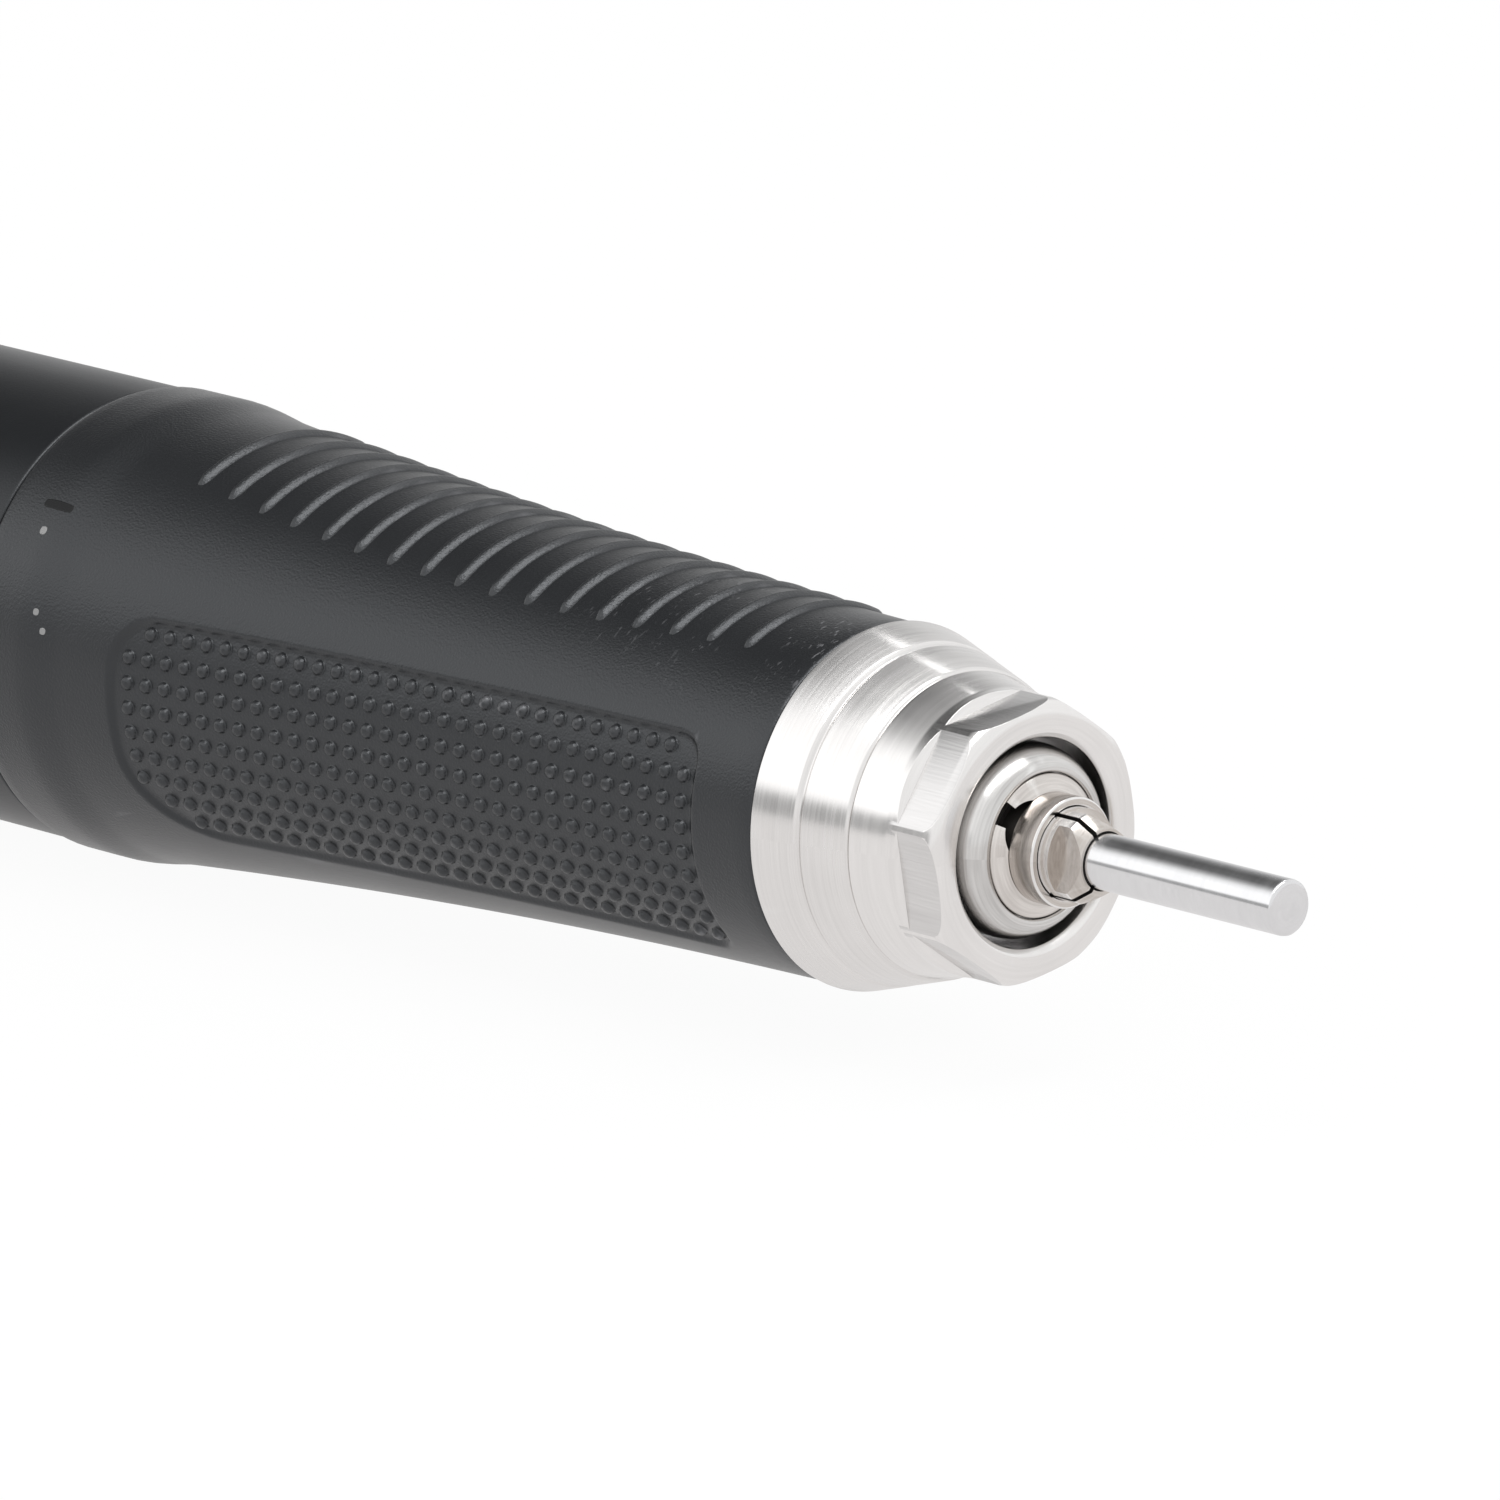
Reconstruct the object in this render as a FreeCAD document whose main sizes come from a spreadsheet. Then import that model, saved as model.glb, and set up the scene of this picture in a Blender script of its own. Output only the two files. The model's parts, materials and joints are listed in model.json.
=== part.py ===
import FreeCAD, Part
import math
import os

import Sketcher

# Dental micromotor handpiece. The axis is X: the cord inlet is at x = 0 and the tool points to +X.
# +Z is up, which puts the ribs of the grip on top. All lengths are millimetres, all turns degrees.

doc = FreeCAD.newDocument("handpiece")

# Driving dimensions. Each is one length, radius, count or clearance of the real piece.
SIZES = {
    # fits
    "seat_gap": 0.03,
    "thread_gap": 0.05,
    "running_gap": 0.1,
    "end_gap": 0.15,
    "edge_break": 0.15,
    # rear cap and cord gland
    "gland_flange_length": 2.0,
    "gland_flange_width": 1.2,
    "gland_wall": 1.0,
    "gland_length": 11.0,
    "cord_bore_radius": 2.4,
    "cap_length": 10.0,
    "cap_end_radius": 6.6,
    "cap_crown_length": 7.5,
    "cap_end_wall": 4.0,
    "cap_spigot_length": 5.3,
    "cap_spigot_wall": 1.0,
    # motor case
    "case_radius": 10.05,
    "case_wall": 1.05,
    "case_front_wall": 4.1,
    "spigot_length": 6.9,
    "spigot_wall": 1.3,
    "friction_ring_width": 1.4,
    "friction_ring_depth": 0.7,
    # motor
    "terminal_plate_length": 1.2,
    "terminal_half_width": 0.5,
    "terminal_pitch_radius": 5.4,
    "terminal_length": 6.0,
    "carrier_length": 14.5,
    "carrier_rim_length": 2.0,
    "carrier_rim_wall": 1.1,
    "carrier_cavity_radius": 4.2,
    "carrier_cavity_length": 8.5,
    "yoke_length": 29.0,
    "yoke_wall": 0.8,
    "magnet_thickness": 0.8,
    "magnet_end_space": 2.0,
    "magnet_angle": 140.0,
    "air_gap": 0.3,
    "core_end_space": 3.5,
    "core_slot_width": 1.7,
    "core_slot_depth": 3.4,
    "core_slot_count": 7,
    "winding_overhang": 2.0,
    "winding_gap": 0.1,
    "winding_clearance": 0.4,
    "commutator_radius": 3.2,
    "commutator_length": 6.0,
    "commutator_cut_width": 0.3,
    "commutator_cut_depth": 0.5,
    "front_plate_length": 5.0,
    "rotor_shaft_radius": 2.0,
    "motor_bearing_radius": 4.5,
    "motor_bearing_width": 3.0,
    "motor_race_thickness": 0.66,
    "brush_radius": 1.15,
    "brush_length": 2.4,
    "brush_tube_wall": 0.35,
    "brush_cap_length": 0.8,
    "spring_wire": 0.24,
    "spring_turns": 3.0,
    # coupling between the rotor and the spindle
    "dog_hub_radius": 3.4,
    "dog_hub_length": 1.7,
    "dog_jaw_length": 1.8,
    "dog_jaw_width": 1.8,
    "dog_jaw_root": 2.0,
    "spider_arm_width": 1.3,
    "spider_hub_radius": 1.2,
    # spindle housing
    "housing_wall": 1.07,
    "housing_thread_rise": 0.35,
    "housing_flange_step": 0.4,
    "housing_flange_length": 1.5,
    "housing_rear_lip": 0.9,
    "housing_lip_width": 0.9,
    "front_lip_length": 0.6,
    "nose_wall": 0.6,
    "nose_thread_reach": 0.8,
    "nose_clearance": 0.25,
    "seal_depth": 0.7,
    "seal_length": 2.0,
    "seal_inset": 0.6,
    "circlip_thickness": 0.8,
    "circlip_opening": 40.0,
    "circlip_groove_depth": 0.45,
    "washer_thickness": 0.8,
    "washer_wall": 1.2,
    # spindle bearings
    "bearing_bore_radius": 2.5,
    "bearing_outer_radius": 5.5,
    "bearing_width": 4.0,
    "race_thickness": 0.62,
    "ball_count": 7,
    "retainer_length": 3.0,
    "retainer_wall": 1.5,
    "spacer_wall": 0.82,
    "inner_spacer_length": 4.1,
    "spindle_flange_length": 1.5,
    "spindle_flange_rise": 1.0,
    # chuck closing spring and its collar
    "spring_stack_length": 5.5,
    "spring_disc_overhang": 0.2,
    "spring_disc_thickness": 0.6,
    "spring_disc_count": 4,
    "collar_length": 3.9,
    "collar_wall": 1.87,
    "draw_pin_radius": 0.6,
    "draw_travel": 0.75,
    # chuck opening cam
    "push_gap": 0.4,
    "push_length": 4.7,
    "push_clearance": 0.4,
    "twist_angle": 50.0,
    "cam_pin_radius": 0.8,
    "cam_pin_root": 3.4,
    "cam_clearance": 0.15,
    "cam_sleeve_back": 6.5,
    "cam_sleeve_ahead": 7.1,
    "cam_sleeve_wall": 0.75,
    # grip sleeve
    "grip_length": 45.8,
    "grip_front_wall": 0.92,
    "swell_wall": 1.5,
    "grip_waist_radius": 520.0,
    "band_step": 0.15,
    "band_length": 3.4,
    "band_run_out": 1.3,
    "rib_count": 17,
    "rib_pitch": 2.05,
    "rib_first": 4.1,
    "rib_base": 0.62,
    "rib_crest": 0.26,
    "rib_height": 0.2,
    "rib_half_angle_end": 31.0,
    "rib_half_angle_rise": 7.0,
    "panel_front": 3.6,
    "panel_length": 33.8,
    "panel_centre_angle": 10.5,
    "panel_half_angle": 33.5,
    "panel_depth": 0.22,
    "panel_front_corner": 1.3,
    "panel_rear_upper_corner": 2.5,
    "panel_rear_lower_corner": 4.5,
    # metal nose
    "cone_length": 4.4,
    "cone_step": 0.18,
    "cone_lip": 0.06,
    "cone_groove_offset": 2.15,
    "cone_groove_depth": 0.16,
    "cone_groove_width": 0.36,
    "nut_taper_length": 1.7,
    "nut_taper_rise": 0.46,
    "nut_wall": 1.05,
    "nut_flat_depth": 0.4,
    "nut_flat_length": 2.1,
    "nut_flat_count": 8,
    "nut_turn": 10.1,
    "nut_run_out": 0.6,
    "nut_round": 0.7,
    "dome_clearance": 0.3,
    "nut_bore_chamfer": 0.25,
    "nut_skirt_wall": 0.55,
    "nut_skirt_clearance": 0.3,
    # spindle nose
    "dome_protrusion": 0.42,
    "dome_rise": 0.8,
    "dome_crown_length": 1.52,
    "dome_rim_width": 0.24,
    "snap_ring_gap": 0.04,
    "dome_lip_depth": 0.62,
    "dome_rear_gap": 0.25,
    "tube_step": 0.18,
    "tube_setback": 1.87,
    "tube_chamfer": 0.27,
    "snap_ring_width": 0.7,
    "snap_ring_thickness": 0.55,
    "snap_ring_rise": 0.33,
    "snap_ring_seat_depth": 0.2,
    "snap_ring_opening": 20.0,
    "snap_ring_turn": 143.4,
    "snap_ring_relief": 0.3,
    "snap_ring_relief_angle": 30.0,
    # collet, drawbar and tool
    "chuck_reach": 3.9,
    "collet_head_wall": 0.75,
    "collet_head_length": 1.92,
    "collet_taper_length": 4.0,
    "collet_body_wall": 0.41,
    "collet_mouth_wall": 0.19,
    "collet_nose_length": 0.68,
    "collet_flat_wall": 0.18,
    "collet_flat_rear": 1.36,
    "collet_flat_turn": -34.65,
    "collet_slit_width": 0.18,
    "collet_slit_length": 18.0,
    "collet_slit_turn": 25.35,
    "collet_floor": 1.8,
    "collet_spigot_length": 3.0,
    "collet_spigot_radius": 1.1,
    "drawbar_tail": 2.9,
    "tool_radius": 1.175,
    "tool_reach": 10.57,
    "tool_depth": 23.93,
    "tool_bevel": 0.15,
    "tool_stop_gap": 0.27,
}

# Places and radii that follow from the sizes, from the cord end to the tool end.
PLACES = {
    "cap_rear": "Sizes.gland_flange_length",
    "gland_body_radius": "Sizes.cord_bore_radius + Sizes.gland_wall",
    "gland_flange_radius": "gland_body_radius + Sizes.gland_flange_width",
    "case_rear": "cap_rear + Sizes.cap_length",
    "case_bore": "Sizes.case_radius - Sizes.case_wall",
    "motor_radius": "case_bore - Sizes.seat_gap",
    "spigot_radius": "housing_thread_bore + Sizes.spigot_wall",
    "housing_flange_radius": "spigot_radius - Sizes.housing_flange_step",
    "cap_spigot_front": "case_rear + Sizes.cap_spigot_length",
    "cap_spigot_bore": "motor_radius - Sizes.cap_spigot_wall",
    "cap_crown": "(Sizes.cap_crown_length ^ 2 + cap_rise ^ 2) / (2 * cap_rise)",
    "cap_rise": "Sizes.case_radius - Sizes.cap_end_radius",
    "plate_front": "cap_spigot_front + Sizes.terminal_plate_length",
    "carrier_front": "plate_front + Sizes.carrier_length",
    "brush_line": "carrier_front - Sizes.carrier_cavity_length / 2",
    "rear_bearing_rear": "plate_front + Sizes.carrier_rim_length + Sizes.end_gap",
    "rear_bearing_front": "rear_bearing_rear + Sizes.motor_bearing_width",
    "yoke_front": "carrier_front + Sizes.yoke_length",
    "yoke_bore": "motor_radius - Sizes.yoke_wall",
    "magnet_bore": "yoke_bore - Sizes.seat_gap - Sizes.magnet_thickness",
    "core_radius": "magnet_bore - Sizes.air_gap",
    "magnet_length": "Sizes.yoke_length - 2 * Sizes.magnet_end_space",
    "core_length": "Sizes.yoke_length - 2 * Sizes.core_end_space",
    "core_middle": "(carrier_front + yoke_front) / 2",
    "core_rear": "core_middle - core_length / 2",
    "core_front": "core_middle + core_length / 2",
    "commutator_rear": "brush_line - Sizes.commutator_length / 2",
    "motor_front": "yoke_front + Sizes.front_plate_length",
    "motor_bearing_front": "motor_front - Sizes.end_gap",
    "motor_bearing_rear": "motor_bearing_front - Sizes.motor_bearing_width",
    "shaft_clearance": "Sizes.rotor_shaft_radius + 4 * Sizes.running_gap",
    "shaft_seat": "Sizes.rotor_shaft_radius + Sizes.seat_gap",
    "motor_bearing_seat": "Sizes.motor_bearing_radius + Sizes.seat_gap",
    "tube_bore": "Sizes.brush_radius + Sizes.seat_gap",
    "tube_outside": "tube_bore + Sizes.brush_tube_wall",
    "brush_hole_radius": "tube_outside + Sizes.seat_gap",
    "brush_cap_tip": "motor_radius - Sizes.end_gap",
    "brush_cap_root": "brush_cap_tip - Sizes.brush_cap_length",
    "tube_tip": "brush_cap_root - Sizes.seat_gap",
    "brush_root": "Sizes.commutator_radius + Sizes.seat_gap",
    "brush_tip": "brush_root + Sizes.brush_length",
    "winding_outside": "core_radius - Sizes.winding_clearance",
    "winding_rear": "core_rear - Sizes.winding_overhang",
    "winding_front": "core_front + Sizes.winding_overhang",
    "slot_floor": "core_radius - Sizes.core_slot_depth",
    "rotor_rear": "plate_front + Sizes.carrier_rim_length + 2 * Sizes.end_gap",
    "case_shoulder": "motor_front + Sizes.seat_gap",
    "parting": "case_shoulder + Sizes.case_front_wall",
    "spigot_front": "parting + Sizes.spigot_length",
    "ring_groove_rear": "(parting + spigot_front - Sizes.friction_ring_width) / 2",
    "ring_groove_front": "ring_groove_rear + Sizes.friction_ring_width",
    "housing_thread_bore": "housing_thread_radius + Sizes.thread_gap",
    "rotor_dog_rear": "motor_front + Sizes.end_gap",
    "rotor_dog_front": "rotor_dog_rear + Sizes.dog_hub_length",
    "spindle_dog_rear": "rotor_dog_front + Sizes.dog_jaw_length + Sizes.end_gap",
    "spindle_dog_front": "spindle_dog_rear + Sizes.dog_hub_length",
    "housing_rear": "rotor_dog_front + Sizes.dog_jaw_length",
    "housing_bore": "Sizes.bearing_outer_radius + Sizes.seat_gap",
    "housing_radius": "housing_bore + Sizes.housing_wall",
    "housing_thread_radius": "housing_radius + Sizes.housing_thread_rise",
    "housing_lip_radius": "Sizes.bearing_outer_radius - Sizes.housing_lip_width",
    "circlip_groove_radius": "housing_bore + Sizes.circlip_groove_depth",
    "third_bearing_rear": "spindle_dog_front + Sizes.housing_rear_lip",
    "third_bearing_front": "third_bearing_rear + Sizes.bearing_width",
    "circlip_rear": "third_bearing_front + Sizes.washer_thickness + Sizes.seat_gap",
    "circlip_front": "circlip_rear + Sizes.circlip_thickness",
    "flange_front": "spigot_front + Sizes.housing_flange_length",
    "grip_rear": "parting + Sizes.end_gap",
    "grip_front": "grip_rear + Sizes.grip_length",
    "cone_rear": "grip_front + Sizes.end_gap",
    "nut_seat": "cone_rear + Sizes.cone_length",
    "flat_rear": "nut_seat + Sizes.nut_taper_length",
    "flat_front": "flat_rear + Sizes.nut_flat_length",
    "nut_face": "flat_front + Sizes.nut_round",
    "mouth": "nut_face + Sizes.chuck_reach",
    "tool_tip": "mouth + Sizes.tool_reach",
    "nose_front": "nut_seat + Sizes.nose_thread_reach",
    "nut_thread_bore": "nose_thread_radius + Sizes.thread_gap",
    "nut_radius": "nut_thread_bore + Sizes.nut_wall",
    "nut_rear_radius": "nut_radius + Sizes.nut_taper_rise",
    "cone_front_radius": "nut_rear_radius + Sizes.cone_lip",
    "nut_flat_radius": "nut_radius - Sizes.nut_flat_depth",
    "nut_skirt_radius": "nut_thread_bore + Sizes.nut_skirt_wall",
    "nut_skirt_rear": "cone_rear + Sizes.nut_skirt_clearance",
    "nut_step": "nose_front + Sizes.end_gap",
    "cone_bore": "nut_skirt_radius + Sizes.seat_gap",
    "cone_slope": "(cone_rear_radius - cone_front_radius) / (Sizes.cone_length - 2 * Sizes.edge_break)",
    "groove_middle": "cone_rear + Sizes.cone_groove_offset",
    "groove_radius": "cone_rear_radius - (Sizes.cone_groove_offset - Sizes.edge_break) * cone_slope",
    "seal_rear": "cone_rear + Sizes.seal_inset",
    "seal_front": "seal_rear + Sizes.seal_length",
    "second_bearing_front": "cone_rear - Sizes.front_lip_length",
    "second_bearing_rear": "second_bearing_front - Sizes.bearing_width",
    "first_bearing_rear": "second_bearing_rear - Sizes.bearing_width",
    "spindle_flange_front": "first_bearing_rear - Sizes.inner_spacer_length",
    "spindle_flange_rear": "spindle_flange_front - Sizes.spindle_flange_length",
    "collar_front": "spindle_flange_rear - Sizes.spring_stack_length",
    "collar_rear": "collar_front - Sizes.collar_length",
    "draw_pin_line": "(collar_front + collar_rear) / 2",
    "push_front": "collar_rear - Sizes.push_gap",
    "push_rear": "push_front - Sizes.push_length",
    "cam_pin_line": "(push_front + push_rear) / 2",
    "push_travel": "Sizes.draw_travel + Sizes.push_gap - Sizes.thread_gap",
    "cam_sleeve_bore": "housing_radius + Sizes.running_gap",
    "cam_sleeve_radius": "cam_sleeve_bore + Sizes.cam_sleeve_wall",
    "cam_pocket_radius": "cam_sleeve_radius + Sizes.seat_gap",
    "cam_slot_radius": "Sizes.cam_pin_radius + Sizes.cam_clearance",
    "cam_pin_tip": "cam_sleeve_radius - Sizes.end_gap",
    "push_radius": "housing_bore - Sizes.running_gap",
    "cam_sleeve_rear": "cam_pin_line - Sizes.cam_sleeve_back",
    "cam_sleeve_front": "cam_pin_line + Sizes.cam_sleeve_ahead",
    "spigot_bore_of_grip": "spigot_radius + Sizes.running_gap",
    "band_radius": "Sizes.case_radius + Sizes.band_step",
    "grip_swell_radius": "spigot_bore_of_grip + Sizes.swell_wall",
    "grip_rear_bore_front": "flange_front + 2 * Sizes.end_gap",
    "grip_front_bore": "housing_radius + Sizes.running_gap",
    "grip_front_radius": "grip_front_bore + Sizes.grip_front_wall",
    "cone_rear_radius": "grip_front_radius + Sizes.cone_step",
    "band_front": "grip_rear + Sizes.band_length",
    "swell": "band_front + Sizes.band_run_out",
    "waist_front": "grip_front - Sizes.edge_break",
    "panel_front_line": "grip_front - Sizes.panel_front",
    "panel_rear_line": "panel_front_line - Sizes.panel_length",
    "dome_front": "nut_face + Sizes.dome_protrusion",
    "dome_rear": "nose_front + Sizes.dome_rear_gap",
    "dome_shoulder": "dome_front - Sizes.dome_crown_length",
    "dome_round": "(Sizes.dome_crown_length ^ 2 + Sizes.dome_rise ^ 2) / (2 * Sizes.dome_rise)",
    "tube_seat": "tube_radius + Sizes.seat_gap",
    "ring_seat": "dome_front - Sizes.dome_lip_depth",
    "ring_seat_radius": "tube_radius - Sizes.snap_ring_seat_depth",
    "ring_front": "ring_seat + Sizes.snap_ring_thickness + Sizes.snap_ring_rise",
    "tube_front": "mouth - Sizes.tube_setback",
    "collet_shoulder": "mouth - Sizes.collet_nose_length",
    "collet_head_rear": "collet_shoulder - Sizes.collet_head_length",
    "collet_body_front": "collet_head_rear - Sizes.collet_taper_length",
    "collet_bore_end": "mouth - Sizes.tool_depth - Sizes.tool_stop_gap",
    "collet_rear": "collet_bore_end - Sizes.collet_floor",
    "collet_bore": "Sizes.tool_radius + Sizes.seat_gap / 2",
    "collet_flat_radius": "collet_bore + Sizes.collet_flat_wall",
    "collet_mouth_radius": "collet_bore + Sizes.collet_mouth_wall",
    "collet_head_radius": "collet_bore + Sizes.collet_head_wall",
    "collet_body_radius": "collet_bore + Sizes.collet_body_wall",
    "drawbar_rear": "draw_pin_line - Sizes.drawbar_tail",
    "collet_spigot_rear": "collet_rear - Sizes.collet_spigot_length",
    "head_bore": "collet_head_radius + Sizes.seat_gap",
    "tool_rear": "mouth - Sizes.tool_depth",
    "pin_hole": "Sizes.draw_pin_radius + Sizes.seat_gap",
    "bore_end": "drawbar_rear - Sizes.end_gap",
    "spindle_bore": "collet_body_radius + Sizes.seat_gap",
    "spindle_seat": "Sizes.bearing_bore_radius + Sizes.seat_gap",
    "tube_radius": "Sizes.bearing_bore_radius - Sizes.tube_step",
    "spindle_flange_radius": "Sizes.bearing_bore_radius + Sizes.spindle_flange_rise",
    "push_bore_radius": "Sizes.bearing_bore_radius + Sizes.push_clearance",
    "collar_radius": "spindle_seat + Sizes.collar_wall",
    "spring_disc_radius": "collar_radius + Sizes.spring_disc_overhang",
    "snap_ring_radius": "tube_radius + Sizes.snap_ring_width",
    "relief_top": "tube_radius + Sizes.snap_ring_relief",
    "relief_line": "(relief_top ^ 2 - tube_radius ^ 2) / (2 * relief_top * cos(Sizes.snap_ring_opening / 2)"
    " - 2 * tube_radius * cos(Sizes.snap_ring_relief_angle))",
    "relief_across": "relief_line * cos(Sizes.snap_ring_turn)",
    "relief_up": "relief_line * sin(Sizes.snap_ring_turn)",
    "relief_radius": "sqrt(tube_radius ^ 2 + relief_line ^ 2"
    " - 2 * tube_radius * relief_line * cos(Sizes.snap_ring_relief_angle))",
    "dome_lip_radius": "snap_ring_radius + Sizes.snap_ring_gap",
    "dome_crown_radius": "dome_lip_radius + Sizes.dome_rim_width",
    "dome_radius": "dome_crown_radius + Sizes.dome_rise",
    "nut_bore_radius": "dome_radius + Sizes.dome_clearance",
    "spacer_radius": "spindle_seat + Sizes.spacer_wall",
    "nose_bore_radius": "spacer_radius + Sizes.nose_clearance",
    "seal_radius": "nose_bore_radius + Sizes.seal_depth",
    "nose_thread_radius": "seal_radius + Sizes.nose_wall",
    "spindle_rear": "spindle_dog_rear + Sizes.end_gap",
}


def fill_sheet(name, cells, formula):
    """Write names in column A and values in column B, and give each value its alias."""
    sheet = doc.addObject("Spreadsheet::Sheet", name)
    for row, (alias, content) in enumerate(cells.items(), 1):
        sheet.set(f"A{row}", alias)
        sheet.set(f"B{row}", f"={content}" if formula else str(content))
        sheet.setAlias(f"B{row}", alias)
    return sheet


sizes = fill_sheet("Sizes", SIZES, formula=False)
places = fill_sheet("Places", PLACES, formula=True)
doc.recompute()


def full(expression):
    """Name the sheet of each word in an expression, so that outlines can use the bare names."""
    words = []
    for word in expression.replace("(", " ( ").replace(")", " ) ").split():
        if word in SIZES:
            word = "Sizes." + word
        elif word in PLACES:
            word = "Places." + word
        words.append(word)
    return " ".join(words)


def value(expression):
    """Work out an expression now, as a plain number."""
    return float(sizes.evalExpression(full(expression)))


PARTS = []


def keep(obj):
    """Count a finished object as a sub-part, to be checked and written at the end."""
    PARTS.append(obj)
    return obj


def plane_of(body, role):
    """One of a body's own origin planes."""
    return next(f for f in body.Origin.OriginFeatures if f.Role == role)


def arc_between(start, end, radius, bulges):
    """An arc from start to end. Its centre is nearer the axis if it bulges, else farther out."""
    middle = (start + end) / 2
    chord = end - start
    height = math.sqrt(max(radius**2 - (chord.Length / 2) ** 2, 0))
    side = FreeCAD.Vector(-chord.y, chord.x, 0).normalize() * height
    centres = sorted((middle + side, middle - side), key=lambda c: c.y)
    centre = centres[0] if bulges else centres[1]
    angles = [math.atan2(p.y - centre.y, p.x - centre.x) for p in (start, end)]
    circle = Part.Circle(centre, FreeCAD.Vector(0, 0, 1), radius)
    if (angles[1] - angles[0]) % (2 * math.pi) < math.pi:
        return Part.ArcOfCircle(circle, angles[0], angles[1]), 1, 2
    return Part.ArcOfCircle(circle, angles[1], angles[0]), 2, 1


def hold(sketch, kind, geometry, end, expression, number):
    """Tie one coordinate of a point to an expression. A zero ties it to the sketch's axis."""
    if expression == "0":
        axis = -2 if kind == "DistanceX" else -1
        sketch.addConstraint(Sketcher.Constraint("PointOnObject", geometry, end, axis))
        return
    place = sketch.addConstraint(Sketcher.Constraint(kind, -1, 1, geometry, end, number))
    sketch.setExpression(f"Constraints[{place}]", full(expression))


def outline(body, name, points, role="XZ_Plane", turn=None):
    """Draw a closed outline. A point is (x, y) or (x, y, "bulge" or "hollow", radius of the arc to it)."""
    sketch = body.newObject("Sketcher::SketchObject", name)
    sketch.AttachmentSupport = [(plane_of(body, role), "")]
    sketch.MapMode = "FlatFace"
    if turn:
        along = FreeCAD.Vector(1, 0, 0)
        sketch.AttachmentOffset = FreeCAD.Placement(
            FreeCAD.Vector(), FreeCAD.Rotation(along, value(turn))
        )
        sketch.setExpression(".AttachmentOffset.Rotation.Angle", full(turn))
    spots = [FreeCAD.Vector(value(p[0]), value(p[1]), 0) for p in points]
    ends = []
    for index, point in enumerate(points):
        start, end = spots[index - 1], spots[index]
        if len(point) == 4:
            edge, first, last = arc_between(start, end, value(point[3]), point[2] == "bulge")
        else:
            edge, first, last = Part.LineSegment(start, end), 1, 2
        sketch.addGeometry(edge)
        ends.append((first, last))
    count = len(points)
    for index in range(count):
        following = (index + 1) % count
        sketch.addConstraint(
            Sketcher.Constraint(
                "Coincident", index, ends[index][1], following, ends[following][0]
            )
        )
    for index, point in enumerate(points):
        hold(sketch, "DistanceX", index, ends[index][1], point[0], spots[index].x)
        hold(sketch, "DistanceY", index, ends[index][1], point[1], spots[index].y)
        if len(point) == 4:
            place = sketch.addConstraint(
                Sketcher.Constraint("Radius", index, value(point[3]))
            )
            sketch.setExpression(f"Constraints[{place}]", full(point[3]))
    return sketch


def turned(label, points, angle=None, turn=None):
    """A piece turned on a lathe: a body with its half section revolved about X, whole or in part."""
    body = doc.addObject("PartDesign::Body", label)
    body.Label = label
    sketch = outline(body, label + "_section", points, turn=turn)
    revolution = body.newObject("PartDesign::Revolution", label + "_turn")
    revolution.Profile = sketch
    revolution.ReferenceAxis = (sketch, ["H_Axis"])
    revolution.Angle = 360
    if angle:
        revolution.Midplane = True
        revolution.Angle = value(angle)
        revolution.setExpression("Angle", full(angle))
    return body


def cut(body, sketch, count=1, width=None, axis="H_Axis"):
    """Pocket a sketch both ways, right through or to a width, and repeat it about the axis."""
    pocket = body.newObject("PartDesign::Pocket", sketch.Name + "_cut")
    pocket.Profile = sketch
    pocket.SideType = "Symmetric"
    if width:
        pocket.Length = value(width)
        pocket.setExpression("Length", full(width))
    else:
        pocket.Type = "ThroughAll"
    if count > 1:
        pattern = body.newObject("PartDesign::PolarPattern", sketch.Name + "_pattern")
        pattern.Originals = [pocket]
        pattern.Axis = (sketch, [axis])
        pattern.Angle = 360
        pattern.Occurrences = int(count)
        body.Tip = pattern
    return body


def ring(label, rear, front, inner, outer):
    """A plain turned ring between two stations."""
    return turned(label, [(rear, inner), (rear, outer), (front, outer), (front, inner)])


def round_hole(body, name, across, up, radius, role):
    """Draw a circle on one of a body's planes, with its centre and radius tied to expressions."""
    sketch = body.newObject("Sketcher::SketchObject", name)
    sketch.AttachmentSupport = [(plane_of(body, role), "")]
    sketch.MapMode = "FlatFace"
    centre = FreeCAD.Vector(value(across), value(up), 0)
    sketch.addGeometry(Part.Circle(centre, FreeCAD.Vector(0, 0, 1), value(radius)))
    hold(sketch, "DistanceX", 0, 3, across, centre.x)
    hold(sketch, "DistanceY", 0, 3, up, centre.y)
    place = sketch.addConstraint(Sketcher.Constraint("Radius", 0, value(radius)))
    sketch.setExpression(f"Constraints[{place}]", full(radius))
    return sketch


def drill(body, line, radius, role):
    """A round hole right across a body, along Y from the XZ plane or along Z from the XY plane."""
    return cut(body, round_hole(body, body.Name + "_hole", line, "0", radius, role))


def slot(body, start, end, radius, role):
    """A round-ended slot along X, right across a body."""
    sketch = outline(
        body,
        body.Name + "_slot",
        [
            (start, f"0 - {radius}", "hollow", radius),
            (end, f"0 - {radius}"),
            (f"{end} + {radius}", "0", "hollow", radius),
            (end, radius, "bulge", radius),
            (start, radius),
            (f"{start} - {radius}", "0", "bulge", radius),
        ],
        role,
    )
    return cut(body, sketch)


def axial_slots(body, inner, outer, half_width, count):
    """Straight slots or holes along X, spaced evenly about it."""
    sketch = outline(
        body,
        body.Name + "_slots",
        [
            (inner, f"0 - {half_width}"),
            (outer, f"0 - {half_width}"),
            (outer, half_width),
            (inner, half_width),
        ],
        "YZ_Plane",
    )
    return cut(body, sketch, count, axis="N_Axis")


def solid(label, shape):
    """A piece whose shape is worked out from the sheet by the calls that made it."""
    piece = doc.addObject("Part::Feature", label)
    piece.Label = label
    piece.Shape = shape
    piece.Placement = FreeCAD.Placement()
    return piece


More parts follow.
